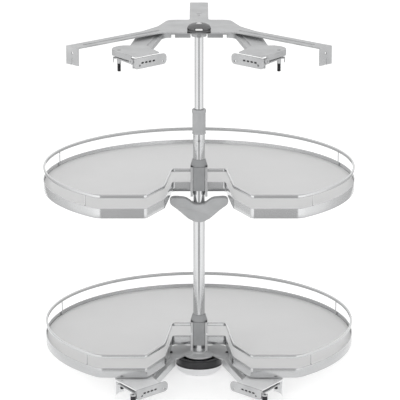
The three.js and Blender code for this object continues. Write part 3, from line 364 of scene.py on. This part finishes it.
def makeFinish(name, look):
    paint = bpy.data.materials.new(name)
    paint.use_nodes = True
    tree = paint.node_tree
    shader = tree.nodes["Principled BSDF"]
    drawn = tree.nodes.new("ShaderNodeGroup")
    drawn.node_tree = drawnGrain
    for label, key in (("Stretch", "stretch"), ("Scale", "scale"), ("Cloud scale", "cloudScale"),
                       ("Roughness", "roughness"), ("Roughness spread", "spread")):
        drawn.inputs[label].default_value = look[key]
    worn = tree.nodes.new("ShaderNodeGroup")
    worn.node_tree = edgeWear
    worn.inputs["Amount"].default_value = look["wear"]
    ramp = tree.nodes.new("ShaderNodeValToRGB")
    dark = [max(c - look["cloud"], 0) for c in look["colour"]]
    light = [min(c + look["cloud"], 1) for c in look["colour"]]
    for stop, position, colour in zip(ramp.color_ramp.elements, cloudRange, (dark, light)):
        stop.position = position
        stop.color = (*colour, 1)
    tree.links.new(drawn.outputs["Cloud"], ramp.inputs["Fac"])
    mix = tree.nodes.new("ShaderNodeMix")
    mix.data_type = "RGBA"
    mix.inputs[7].default_value = (*look["worn"], 1)
    tree.links.new(worn.outputs["Mask"], mix.inputs[0])
    tree.links.new(ramp.outputs["Color"], mix.inputs[6])
    tree.links.new(mix.outputs[2], shader.inputs["Base Color"])
    tree.links.new(drawn.outputs["Roughness"], shader.inputs["Roughness"])
    bump = tree.nodes.new("ShaderNodeBump")
    bump.inputs["Strength"].default_value = look["bump"]
    bump.inputs["Distance"].default_value = bumpHeight
    tree.links.new(drawn.outputs["Height"], bump.inputs["Height"])
    tree.links.new(bump.outputs[0], shader.inputs["Normal"])
    shader.inputs["Metallic"].default_value = look["metal"]
    return paint


material = {name: makeFinish(name, look) for name, look in finishes.items()}

slotFinish = {
    "plated_steel": "platedSteel",
    "satin_tube": "satinTube",
    "rail_chrome": "railChrome",
    "band_metal": "bandMetal",
    "board_foil": "boardFoil",
    "grey_plastic": "greyPlastic",
    "dark_plastic": "darkPlastic",
    "black_plastic": "blackPlastic",
    "black_steel": "blackSteel",
    "bright_steel": "brightSteel",
}
# painted light and shade: the lighter plate copies paint light on pieces in the trays' shade, the
# darker band copy paints shade on the lower tray's band
finishOf = {  # pieces that look darker or lighter than the rest of their slot
    "top_arm_plate": "armSteel",
    "bearing_housing": "housingPlastic",
    # painted light: the arm plate and the hub plate sit in the trays' shade and get a lighter plate
    # copy
    "bottom_arm_plate": "paintedLitPlate",
    "hub_plate": "paintedLitPlate",
    "bottom_plate_screw_left": "blackPlastic",
    "bottom_plate_screw_right": "blackPlastic",
    # painted light: the lower bracket bodies, shaded by the lower tray, get a much lighter plate
    # copy
    "lower_left_bracket_body": "paintedBrightLitPlate",
    "lower_right_bracket_body": "paintedBrightLitPlate",
    "lower_cone_collar": "darkPlastic",
    "upper_cone_collar": "darkPlastic",
    # painted shade: the lower tray's band gets the darker band copy
    "lower_band": "shadedBand",
    "socket_screw": "armSteel",
    "post_clamp_screw": "armSteel",
}
slotOf = {part["node"]: part["material_slot"] for part in frame["record"]["subparts"]}
bodies = frame["record"]["behaviour"]["bodies"]
bodyOf = {member: body for body, members in bodies.items() for member in members}


def finishFor(node):
    return material[finishOf.get(node, slotFinish[slotOf[node]])]


for name, node in nodes.items():
    node.data.materials.clear()
    node.data.materials.append(finishFor(name))
print("finishes made:", len(material))

# helpers for new pieces

softEdge = {"segments": 2, "angle": 32}
merging = {"distance": 1e-6, "flatWithin": 1}  # loose triangles of a solid become whole faces


def newObject(name, mesh):
    piece = bpy.data.objects.new(name, mesh)
    bpy.context.scene.collection.objects.link(piece)
    return piece


def dress(piece, node):
    piece.data.materials.clear()
    piece.data.materials.append(finishFor(node))
    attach(piece, bodyOf[node])
    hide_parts(node)
    return piece


def applied(piece):
    depsgraph = bpy.context.evaluated_depsgraph_get()
    mesh = bpy.data.meshes.new_from_object(piece.evaluated_get(depsgraph))
    piece.modifiers.clear()
    old = piece.data
    piece.data = mesh
    bpy.data.meshes.remove(old)
    return piece


def smoothed(piece, angle):
    piece.data.shade_smooth()
    piece.data.set_sharp_from_angle(angle=math.radians(angle))
    return piece


def bevelled(piece, width):
    bevel = piece.modifiers.new("softEdges", "BEVEL")
    bevel.width = width * mm
    bevel.segments = softEdge["segments"]
    bevel.limit_method = "ANGLE"
    bevel.angle_limit = math.radians(softEdge["angle"])
    piece.data.shade_smooth()
    weigh = piece.modifiers.new("flatFaces", "WEIGHTED_NORMAL")
    weigh.keep_sharp = True
    return piece


def mergedCopy(node, name):
    mesh = nodes[node].data.copy()
    mesh.name = name
    work = bmesh.new()
    work.from_mesh(mesh)
    bmesh.ops.remove_doubles(work, verts=work.verts, dist=merging["distance"])
    bmesh.ops.dissolve_limit(work, angle_limit=math.radians(merging["flatWithin"]),
                             verts=work.verts, edges=work.edges)
    work.to_mesh(mesh)
    work.free()
    return newObject(name, mesh)


def prism(name, outlinePoints, low, high, place=Matrix()):
    count = len(outlinePoints)
    points = [place @ Vector((x * mm, y * mm, z * mm))
              for z in (low, high) for x, y in outlinePoints]
    faces = [tuple(reversed(range(count))), tuple(range(count, 2 * count))]
    faces += [(i, (i + 1) % count, count + (i + 1) % count, count + i) for i in range(count)]
    mesh = bpy.data.meshes.new(name)
    mesh.from_pydata([tuple(point) for point in points], [], faces)
    return newObject(name, mesh)


def block(name, low, high, place=Matrix()):
    corners = [(low[0], low[1]), (high[0], low[1]), (high[0], high[1]), (low[0], high[1])]
    return prism(name, corners, low[2], high[2], place)


def softShape(piece, width, tool=None):  # a tool is cut out first, then the edges are softened
    if tool:
        cut = piece.modifiers.new("cut", "BOOLEAN")
        cut.object = tool
        cut.solver = "EXACT"
    applied(bevelled(piece, width))
    if tool:
        bpy.data.objects.remove(tool)
    return piece


# screws: head copies with a drive recess cut in

drives = {
    "cross": {"arm": 2.7, "half": 0.55, "depth": 1.4},
    "hex": {"radius": 2.9, "depth": 1.8},
}
screws = {  # drive, direction of the head, width of the soft edge
    "bottom_plate_screw_left": ("cross", (0, 0, 1), 0.3),
    "bottom_plate_screw_right": ("cross", (0, 0, 1), 0.3),
    "socket_screw": ("cross", (0, -1, 0), 0.25),
    "post_clamp_screw": ("hex", (0, -1, 0), 0.25),
    "lower_clamp_bolt": ("hex", (0, -1, 0), 0.3),
    "upper_clamp_bolt": ("hex", (0, -1, 0), 0.3),
    "upper_left_pivot_screw": ("cross", (-1, -1, 0), 0.3),
    "upper_right_pivot_screw": ("cross", (1, -1, 0), 0.3),
}
faceTolerance = 1e-5


def crossSection(kind):
    size = drives[kind]
    if kind == "hex":
        angles = [math.pi * i / 3 for i in range(6)]
        return [(size["radius"] * math.cos(a), size["radius"] * math.sin(a)) for a in angles]
    arm, half = size["arm"], size["half"]
    quarter = [(arm, -half), (arm, half), (half, half)]
    turned = []
    for turn in range(4):
        c, s = math.cos(math.pi * turn / 2), math.sin(math.pi * turn / 2)
        turned += [(c * x - s * y, s * x + c * y) for x, y in quarter]
    return turned


def recessTool(kind, outermost, outward):
    depth = drives[kind]["depth"]
    turn = outward.to_track_quat("Z", "Y").to_matrix().to_4x4()
    place = Matrix.Translation(outermost) @ turn
    return prism("recessTool", crossSection(kind), -depth, depth, place)


def makeScrew(node, kind, outward, width):
    outward = Vector(outward).normalized()
    piece = mergedCopy(node, node + "Driven")
    reach = max(vertex.co.dot(outward) for vertex in piece.data.vertices)
    rim = [v.co for v in piece.data.vertices if v.co.dot(outward) > reach - faceTolerance]
    centre = sum(rim, Vector()) / len(rim)
    return dress(softShape(piece, width, recessTool(kind, centre, outward)), node)


for node, (kind, outward, width) in screws.items():
    makeScrew(node, kind, outward, width)
print("screw heads made:", len(screws))

# round pieces: the solid's own profile, spun with more steps

spun = {  # width of the soft edge, steps
    "floor_dish": (0.5, 96), "bearing_ring": (0.8, 96), "hub_plate": (0.4, 96),
    "lower_tube": (0.3, 72), "upper_tube": (0.3, 72), "pivot_pin": (0.3, 32),
    "top_pivot": (0.3, 64),
    "lower_left_pivot_screw": (0.5, 40), "lower_right_pivot_screw": (0.5, 40),
}
newLevels = {  # heights in the solid and here, where the foot is taller
    "floor_dish": [(0, 0), (13.6, 21.7)],
    "bearing_ring": [(13.9, 22), (25.5, 25.5), (32.1, 36.8), (33.7, 38.4)],
    "hub_plate": [(34.2, 39), (37.4, 41.3), (38.4, 42.2), (42.9, 45.6), (44.4, 47), (50, 50),
                  (63, 63)],
}
levelSlack = 0.01
profileLimits = {"near": 2e-5, "merge": 2e-6}


def relevel(height, pairs):
    for (low, newLow), (high, newHigh) in zip(pairs, pairs[1:]):
        if height <= high + levelSlack:
            return newLow + (height - low) * (newHigh - newLow) / (high - low)
    return height


def closeProfile(work, axis, near):  # level faces may lack their radial edge
    looseEnds = {}
    for vertex in work.verts:
        wanted = 1 if abs(vertex.co.y - axis.y) < near else 2
        level = round(vertex.co.z, 5)
        looseEnds.setdefault(level, []).extend([vertex] * (wanted - len(vertex.link_edges)))
    for ends in looseEnds.values():
        if len(ends) % 2:
            ends.append(work.verts.new((axis.x, axis.y, ends[0].co.z)))
        ends.sort(key=lambda vertex: vertex.co.y)
        for first, second in zip(ends[::2], ends[1::2]):
            work.edges.new((first, second))


def spinAgain(node, width, steps):
    source = mergedCopy(node, node + "Round")
    points = [vertex.co for vertex in source.data.vertices]
    low = Vector(min(p[i] for p in points) for i in range(3))
    high = Vector(max(p[i] for p in points) for i in range(3))
    axis = (low + high) / 2
    work = bmesh.new()
    work.from_mesh(source.data)
    near = profileLimits["near"]
    keep = {v for v in work.verts if abs(v.co.x - axis.x) < near and v.co.y > axis.y - near}
    bmesh.ops.delete(work, geom=list(work.faces), context="FACES_ONLY")
    others = [e for e in work.edges if not set(e.verts) <= keep]
    bmesh.ops.delete(work, geom=others, context="EDGES")
    bmesh.ops.delete(work, geom=[v for v in work.verts if v not in keep], context="VERTS")
    onAxis = [e for e in work.edges if all(abs(v.co.y - axis.y) < near for v in e.verts)]
    bmesh.ops.delete(work, geom=onAxis, context="EDGES")
    closeProfile(work, axis, near)
    if node in newLevels:
        for vertex in work.verts:
            vertex.co.z = relevel(vertex.co.z / mm, newLevels[node]) * mm
    profile = list(work.verts) + list(work.edges)
    bmesh.ops.spin(work, geom=profile, cent=axis, axis=(0, 0, 1), angle=2 * math.pi, steps=steps,
                   use_merge=True)
    bmesh.ops.remove_doubles(work, verts=work.verts, dist=profileLimits["merge"])
    bmesh.ops.recalc_face_normals(work, faces=work.faces)
    work.to_mesh(source.data)
    work.free()
    return dress(softShape(source, width), node)


for node, (width, steps) in spun.items():
    spinAgain(node, width, steps)
print("round pieces spun:", len(spun))

# tray outline, shared by the rails and the edge bands

tray = {
    "radius": 360,
    "centreY": 66,
    "frontY": -214.7,
    "frontFillet": 34,
    "notch": [(-116, -214.7, 11), (-76.4, -130.5, 34), (-61.3, 16.6, 7)],  # left half: x, y, radius
    "arcSteps": 138,
    "filletSteps": 9,
    "levels": {"lower": 58.5, "upper": 430.2},  # underside of each edge band
}


def arcPoints(centre, radius, start, end, steps):
    angles = [start + (end - start) * i / steps for i in range(steps + 1)]
    return [(centre[0] + radius * math.cos(a), centre[1] + radius * math.sin(a)) for a in angles]


def cornerPoints(before, corner, after, steps):
    here = Vector(corner[:2])
    inward = (Vector(before[:2]) - here).normalized()
    outward = (Vector(after[:2]) - here).normalized()
    half = math.acos(max(-1, min(1, inward.dot(outward)))) / 2
    centre = here + (inward + outward).normalized() * corner[2] / math.sin(half)
    reach = corner[2] / math.tan(half)
    start = here + inward * reach - centre
    end = here + outward * reach - centre
    first = math.atan2(start.y, start.x)
    sweep = math.atan2(end.y, end.x) - first
    sweep = (sweep + math.pi) % (2 * math.pi) - math.pi
    return arcPoints(centre, corner[2], first, first + sweep, steps)


def roundedLoop(corners, steps):
    loop = []
    for i, corner in enumerate(corners):
        after = corners[(i + 1) % len(corners)]
        loop += cornerPoints(corners[i - 1], corner, after, steps)
    return loop


def trayOutline(size):
    fillet, centreY = size["frontFillet"], size["centreY"]
    filletY = size["frontY"] + fillet
    filletX = math.sqrt((size["radius"] - fillet) ** 2 - (filletY - centreY) ** 2)
    meet = math.atan2(filletY - centreY, filletX)
    rightFillet = arcPoints((filletX, filletY), fillet, -math.pi / 2, meet, size["filletSteps"])
    back = arcPoints((0, centreY), size["radius"], meet, math.pi - meet, size["arcSteps"])
    leftFillet = [(-x, y) for x, y in reversed(rightFillet)]
    notch = size["notch"] + [(-x, y, r) for x, y, r in reversed(size["notch"])]
    ends = [(-filletX, size["frontY"])] + notch + [(filletX, size["frontY"])]
    line = []
    for i in range(1, len(ends) - 1):
        line += cornerPoints(ends[i - 1], ends[i], ends[i + 1], size["filletSteps"])
    return rightFillet + back[1:-1] + leftFillet + line


railing = {
    "width": 4.4, "height": 8, "corner": 1.9, "cornerSteps": 5, "centre": 49.8,
    "wireRadius": 1.3, "wireSides": 16, "wireReach": 356.2, "rearAngle": 22, "frontInset": 29.5,
    "wireFrom": 13.8, "wireSink": 1.2,
}
edgeBand = {
    "wall": 1.6, "height": 22.5, "lip": 0.55, "ledge": 9, "ledgeThickness": 1.5, "ledgeRound": 0.3,
    "insideRound": 0.4, "cornerSteps": 3,
}
trimSharpAngle = 40


def curveObject(name, points, level=0.0):
    data = bpy.data.curves.new(name, "CURVE")
    data.dimensions = "3D"
    spline = data.splines.new("POLY")
    spline.points.add(len(points) - 1)
    for place, (x, y) in zip(spline.points, points):
        place.co = (x * mm, y * mm, level * mm, 1)
    spline.use_cyclic_u = True
    return newObject(name, data)


def newForm(name, inputs):
    group = bpy.data.node_groups.new(name, "GeometryNodeTree")
    group.interface.new_socket("Geometry", in_out="INPUT", socket_type="NodeSocketGeometry")
    for label, kind in inputs:
        group.interface.new_socket(label, in_out="INPUT", socket_type=kind)
    group.interface.new_socket("Geometry", in_out="OUTPUT", socket_type="NodeSocketGeometry")
    return group, group.nodes.new("NodeGroupInput"), group.nodes.new("NodeGroupOutput")


def closeForm(group, given, out, geometry):
    real = group.nodes.new("GeometryNodeRealizeInstances")
    paint = group.nodes.new("GeometryNodeSetMaterial")
    group.links.new(geometry, real.inputs[0])
    group.links.new(real.outputs[0], paint.inputs["Geometry"])
    group.links.new(given.outputs["Material"], paint.inputs["Material"])
    group.links.new(paint.outputs[0], out.inputs[0])


def sweptTrimForm():
    group, given, out = newForm("sweptTrim", [
        ("Profile", "NodeSocketObject"), ("Posts", "NodeSocketObject"),
        ("Post radius", "NodeSocketFloat"), ("Post height", "NodeSocketFloat"),
        ("Material", "NodeSocketMaterial"),
    ])
    upright = group.nodes.new("GeometryNodeSetCurveNormal")
    upright.mode = "Z_UP"
    profile = group.nodes.new("GeometryNodeObjectInfo")
    sweep = group.nodes.new("GeometryNodeCurveToMesh")
    posts = group.nodes.new("GeometryNodeObjectInfo")
    rod = group.nodes.new("GeometryNodeMeshCylinder")
    rod.inputs["Vertices"].default_value = railing["wireSides"]
    stand = group.nodes.new("GeometryNodeInstanceOnPoints")
    joined = group.nodes.new("GeometryNodeJoinGeometry")
    group.links.new(given.outputs["Geometry"], upright.inputs["Curve"])
    group.links.new(given.outputs["Profile"], profile.inputs[0])
    group.links.new(given.outputs["Posts"], posts.inputs[0])
    group.links.new(upright.outputs[0], sweep.inputs["Curve"])
    group.links.new(profile.outputs["Geometry"], sweep.inputs["Profile Curve"])
    group.links.new(given.outputs["Post radius"], rod.inputs["Radius"])
    group.links.new(given.outputs["Post height"], rod.inputs["Depth"])
    group.links.new(posts.outputs["Geometry"], stand.inputs["Points"])
    group.links.new(rod.outputs["Mesh"], stand.inputs["Instance"])
    group.links.new(sweep.outputs[0], joined.inputs[0])
    group.links.new(stand.outputs[0], joined.inputs[0])
    closeForm(group, given, out, joined.outputs[0])
    return group


def grow(piece, form, values):
    shape = piece.modifiers.new("form", "NODES")
    shape.node_group = form
    for item in form.interface.items_tree:
        if item.in_out == "INPUT" and item.name in values:
            shape[item.identifier] = values[item.name]
    return shape


def meshFrom(piece, name):
    depsgraph = bpy.context.evaluated_depsgraph_get()
    depsgraph.update()
    mesh = bpy.data.meshes.new_from_object(piece.evaluated_get(depsgraph))
    mesh.name = name
    bpy.data.objects.remove(piece)
    return newObject(name, mesh)


sweptTrim = sweptTrimForm()
outline = trayOutline(tray)


def wirePlaces(settings):
    reach, centreY = settings["wireReach"], tray["centreY"]
    front = math.asin((tray["frontY"] + settings["frontInset"] - centreY) / reach)
    angles = [math.radians(settings["rearAngle"]), front]
    return [(side * reach * math.cos(a), centreY + reach * math.sin(a))
            for a in angles for side in (-1, 1)]


def makeTrim(node, level, profile, wires=()):
    path = curveObject(node + "Path", outline, level)
    section = curveObject(node + "Section", [(-x, -y) for x, y in profile])
    foot = level - railing["centre"] + railing["wireFrom"] - railing["wireSink"]
    middle = (foot + level) / 2
    mesh = bpy.data.meshes.new(node + "Posts")
    mesh.from_pydata([(x * mm, y * mm, middle * mm) for x, y in wires], [], [])
    posts = newObject(node + "Posts", mesh)
    grow(path, sweptTrim, {
        "Profile": section, "Posts": posts, "Post radius": railing["wireRadius"] * mm,
        "Post height": (level - foot) * mm, "Material": finishFor(node),
    })
    piece = meshFrom(path, node + "Swept")
    for helper in (section, posts):
        bpy.data.objects.remove(helper)
    return dress(smoothed(piece, trimSharpAngle), node)


def railProfile(size):
    w, h, r = size["width"], size["height"] / 2, size["corner"]
    return roundedLoop([(0, -h, r), (w, -h, r), (w, h, r), (0, h, r)], size["cornerSteps"])


def bandProfile(size):
    w, h, r = size["wall"], size["height"], size["lip"]
    ledge, t, end = size["ledge"], size["ledgeThickness"], size["ledgeRound"]
    corners = [(0, 0, r), (ledge, 0, end), (ledge, t, end), (w, t, size["insideRound"]), (w, h, r),
               (0, h, r)]
    return roundedLoop(corners, size["cornerSteps"])


for level, underside in tray["levels"].items():
    makeTrim(level + "_railing", underside + railing["centre"], railProfile(railing),
             wirePlaces(railing))
    makeTrim(level + "_band", underside, bandProfile(edgeBand))
print("rails and edge bands swept")

# threaded adjusters

thread = {
    "radius": 4.0, "pitch": 1.25, "depth": 0.62, "sides": 24, "perTurn": 8, "sharpAngle": 50,
}


def threadedRodForm():
    group, given, out = newForm("threadedRod", [
        ("Radius", "NodeSocketFloat"), ("Pitch", "NodeSocketFloat"), ("Depth", "NodeSocketFloat"),
        ("Length", "NodeSocketFloat"), ("Sides", "NodeSocketInt"), ("Segments", "NodeSocketInt"),
        ("Centre", "NodeSocketVector"), ("Material", "NodeSocketMaterial"),
    ])
    links = group.links
    rod = group.nodes.new("GeometryNodeMeshCylinder")
    for label, source in (("Vertices", "Sides"), ("Side Segments", "Segments"),
                          ("Radius", "Radius"), ("Depth", "Length")):
        links.new(given.outputs[source], rod.inputs[label])
    place = group.nodes.new("GeometryNodeInputPosition")
    split = group.nodes.new("ShaderNodeSeparateXYZ")
    links.new(place.outputs[0], split.inputs[0])
    angle = mathNode(group, "ARCTAN2", split.outputs["Y"], split.outputs["X"])
    turn = mathNode(group, "DIVIDE", angle, 2 * math.pi)
    rise = mathNode(group, "DIVIDE", split.outputs["Z"], given.outputs["Pitch"])
    crest = mathNode(group, "PINGPONG", mathNode(group, "SUBTRACT", rise, turn), 0.5)
    crest = mathNode(group, "MULTIPLY", crest, 2.0)
    half = mathNode(group, "MULTIPLY", given.outputs["Length"], 0.5)
    toEnd = mathNode(group, "SUBTRACT", half, mathNode(group, "ABSOLUTE", split.outputs["Z"]))
    fade = mathNode(group, "DIVIDE", toEnd, given.outputs["Pitch"])
    crest = mathNode(group, "MINIMUM", crest, mathNode(group, "MAXIMUM", fade, 0.0))
    root = mathNode(group, "SUBTRACT", given.outputs["Radius"], given.outputs["Depth"])
    ridge = mathNode(group, "MULTIPLY", crest, given.outputs["Depth"])
    radius = mathNode(group, "ADD", root, ridge)
    scale = mathNode(group, "DIVIDE", radius, given.outputs["Radius"])
    joined = group.nodes.new("ShaderNodeCombineXYZ")
    links.new(mathNode(group, "MULTIPLY", split.outputs["X"], scale), joined.inputs["X"])
    links.new(mathNode(group, "MULTIPLY", split.outputs["Y"], scale), joined.inputs["Y"])
    links.new(split.outputs["Z"], joined.inputs["Z"])
    cut = group.nodes.new("GeometryNodeSetPosition")
    links.new(rod.outputs["Mesh"], cut.inputs["Geometry"])
    links.new(joined.outputs[0], cut.inputs["Position"])
    move = group.nodes.new("GeometryNodeTransform")
    links.new(cut.outputs[0], move.inputs["Geometry"])
    links.new(given.outputs["Centre"], move.inputs["Translation"])
    closeForm(group, given, out, move.outputs[0])
    return group


threadedRod = threadedRodForm()


def makeStud(node, settings):
    low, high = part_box(node)
    length = high[2] - low[2]
    turns = length / (settings["pitch"] * mm)
    start = newObject(node + "Start", bpy.data.meshes.new(node + "Start"))
    grow(start, threadedRod, {
        "Radius": settings["radius"] * mm, "Pitch": settings["pitch"] * mm,
        "Depth": settings["depth"] * mm, "Length": length, "Sides": settings["sides"],
        "Segments": round(turns * settings["perTurn"]),
        "Centre": [(a + b) / 2 for a, b in zip(low, high)],
        "Material": finishFor(node),
    })
    piece = meshFrom(start, node + "Threaded")
    return dress(smoothed(piece, settings["sharpAngle"]), node)


for level in ("lower", "upper"):
    for side in ("left", "right"):
        makeStud("_".join((level, side, "adjuster_stud")), thread)
print("threaded adjusters made")

# sheet and moulded pieces: softened copies of the solids

softened = {  # width of the soft edge
    "star_bracket": 0.7,
    "top_arm_plate": 0.5,
    "bottom_arm_plate": 0.5,
    "door_support": 0.8,
    "coupling_sleeve": 0.3,
    "top_socket": 0.5,
    "bearing_housing": 0.5,
}
for level in ("lower", "upper"):
    softened[level + "_hub_bracket"] = 0.6
    softened[level + "_clamp_insert"] = 0.5
    softened[level + "_cone_collar"] = 0.5
    softened[level + "_board"] = 0.4
    for side in ("left", "right"):
        for part, width in (("bracket_body", 0.7), ("carrier", 0.5), ("door_plate", 0.5)):
            softened["_".join((level, side, part))] = width
windowCut = {"bearing_housing": ((-9.5, -34, 813.2), (9.5, -20, 819.6))}  # two corners of a box


def makeSoft(node, width):
    piece = mergedCopy(node, node + "Soft")
    tool = block("windowTool", *windowCut[node]) if node in windowCut else None
    return dress(softShape(piece, width, tool), node)


for node, width in softened.items():
    makeSoft(node, width)
print("sheet and moulded pieces softened:", len(softened))

# pieces the solids don't have: a pale block painting a highlight in the housing's window, dark
# blocks painting shade under the cone collars and behind the door plates' slots, the arm plate's
# wavy edge, a seal that hides the balls

# painted highlight: a pale block in the bearing housing's window
windowInsert = {"low": (-8, -26, 813.9), "high": (8, -22, 818.2), "softness": 0.6}
# painted shadow: black blocks at each cone collar's lower rim, where the rim overhangs the bracket
# channel
collarShadow = {
    "inner": 15.6, "outer": 19.4, "front": -15, "back": -6, "from": -0.6, "to": 2.4,
    "softness": 0.3,
}
backEdge = {
    "half": 60, "inside": 52, "middle": 67, "wave": 4, "crest": 42, "length": 36, "step": 2,
    "low": 38.9, "high": 41.1, "softness": 0.3,
}
seal = {
    "outer": 31.8, "inner": 12, "low": 34.3, "high": 39.3, "sides": 96, "softness": 0.3,
}
# painted shade: a black strip behind each door plate's slots makes the slots look dark
slotShade = {
    "middleX": -101.75, "middleY": -260.6, "alongFrom": -30.2, "alongTo": 10.4,
    "backFrom": 1.4, "backTo": 2.6, "half": 1.9, "levels": {"lower": 45.5, "upper": 794.5},
    "softness": 0.3,
}


def makeInsert(piece, finish, body, width):
    piece.data.materials.append(material[finish])
    applied(bevelled(piece, width))
    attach(piece, body)


# painted shadow under a cone collar's rim, made as a black block
def makeCollarShadow(level, side, sign, size):
    collar = level + "_cone_collar"
    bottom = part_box(collar)[0][2] / mm
    across = sorted((sign * size["inner"], sign * size["outer"]))
    shadowBlock = block(level + side + "CollarPad", (across[0], size["front"], bottom + size["from"]),
                (across[1], size["back"], bottom + size["to"]))
    makeInsert(shadowBlock, "blackPlastic", bodyOf[collar], size["softness"])


def makeBackEdge(size):
    count = size["half"] // size["step"]
    line = []
    for i in range(-count, count + 1):
        x = i * size["step"]
        turn = 2 * math.pi * (abs(x) - size["crest"]) / size["length"]
        line.append((-x, size["middle"] + size["wave"] * math.cos(turn)))
    outlinePoints = [(-size["half"], size["inside"]), (size["half"], size["inside"])] + line
    edge = prism("bottomPlateBackEdge", outlinePoints, size["low"], size["high"])
    # painted light: the wavy edge takes the same lighter plate copy as the arm plate
    makeInsert(edge, "paintedLitPlate", "column", size["softness"])


def makeSeal(size):
    section = [(size["outer"], size["low"]), (size["outer"], size["high"]),
               (size["inner"], size["high"]), (size["inner"], size["low"])]
    count = size["sides"]
    points, faces = [], []
    for i in range(count):
        angle = 2 * math.pi * i / count
        points += [(r * math.cos(angle) * mm, r * math.sin(angle) * mm, z * mm) for r, z in section]
        here, after = 4 * i, 4 * ((i + 1) % count)
        for j in range(4):
            k = (j + 1) % 4
            faces.append((here + j, after + j, after + k, here + k))
    mesh = bpy.data.meshes.new("hubSeal")
    mesh.from_pydata(points, [], faces)
    makeInsert(newObject("hubSeal", mesh), "blackPlastic", "column",
               size["softness"])


# painted shade behind a door plate's slots
def makeSlotShade(level, side, sign, size):  # a dark strip behind a door plate's slots
    along = sorted((sign * size["alongFrom"], sign * size["alongTo"]))
    centre = (sign * size["middleX"] * mm, size["middleY"] * mm, size["levels"][level] * mm)
    place = Matrix.Translation(centre) @ Matrix.Rotation(sign * math.pi / 4, 4, "Z")
    shadeStrip = block(level + side.capitalize() + "SlotInsert",
                  (along[0], size["backFrom"], -size["half"]),
                  (along[1], size["backTo"], size["half"]), place)
    makeInsert(shadeStrip, "blackPlastic", "_".join((level, side, "door_carrier")),
               size["softness"])


highlightBlock = block("windowInsert", windowInsert["low"], windowInsert["high"])
makeInsert(highlightBlock, "highlightPaint", "cabinet_bracket", windowInsert["softness"])
for level in ("lower", "upper"):
    for side, sign in (("Left", -1), ("Right", 1)):
        makeCollarShadow(level, side, sign, collarShadow)
makeBackEdge(backEdge)
makeSeal(seal)
for level in slotShade["levels"]:
    for side, sign in (("left", 1), ("right", -1)):
        makeSlotShade(level, side, sign, slotShade)
print("inserts made")

# floor, wider towards the back

floorSheet = {
    "front": -0.55, "back": 6.0, "frontHalf": 0.75, "backHalf": 1.5,
    "colour": (0.85, 0.85, 0.85, 1), "glow": 0.45, "noise": 3, "roughness": (0.7, 0.8),
}


def makeFloor(settings):
    mesh = bpy.data.meshes.new("studioFloor")
    front, back = settings["front"], settings["back"]
    near, far = settings["frontHalf"], settings["backHalf"]
    corners = [(-near, front, 0), (near, front, 0), (far, back, 0), (-far, back, 0)]
    mesh.from_pydata(corners, [], [(0, 1, 2, 3)])
    floor = newObject("studioFloor", mesh)
    paint = bpy.data.materials.new("floorPaint")
    paint.use_nodes = True
    shader = paint.node_tree.nodes["Principled BSDF"]
    place = paint.node_tree.nodes.new("ShaderNodeTexCoord")
    noise = paint.node_tree.nodes.new("ShaderNodeTexNoise")
    noise.inputs["Scale"].default_value = settings["noise"]
    paint.node_tree.links.new(place.outputs["Object"], noise.inputs["Vector"])
    spread = paint.node_tree.nodes.new("ShaderNodeMapRange")
    smoothest, roughest = settings["roughness"]
    spread.inputs["To Min"].default_value = smoothest
    spread.inputs["To Max"].default_value = roughest
    paint.node_tree.links.new(noise.outputs["Fac"], spread.inputs["Value"])
    paint.node_tree.links.new(spread.outputs["Result"], shader.inputs["Roughness"])
    shader.inputs["Base Color"].default_value = settings["colour"]
    shader.inputs["Emission Color"].default_value = settings["colour"]
    shader.inputs["Emission Strength"].default_value = settings["glow"]
    floor.data.materials.append(paint)


makeFloor(floorSheet)
bpy.context.scene.view_settings.view_transform = "Standard"
print("floor made")
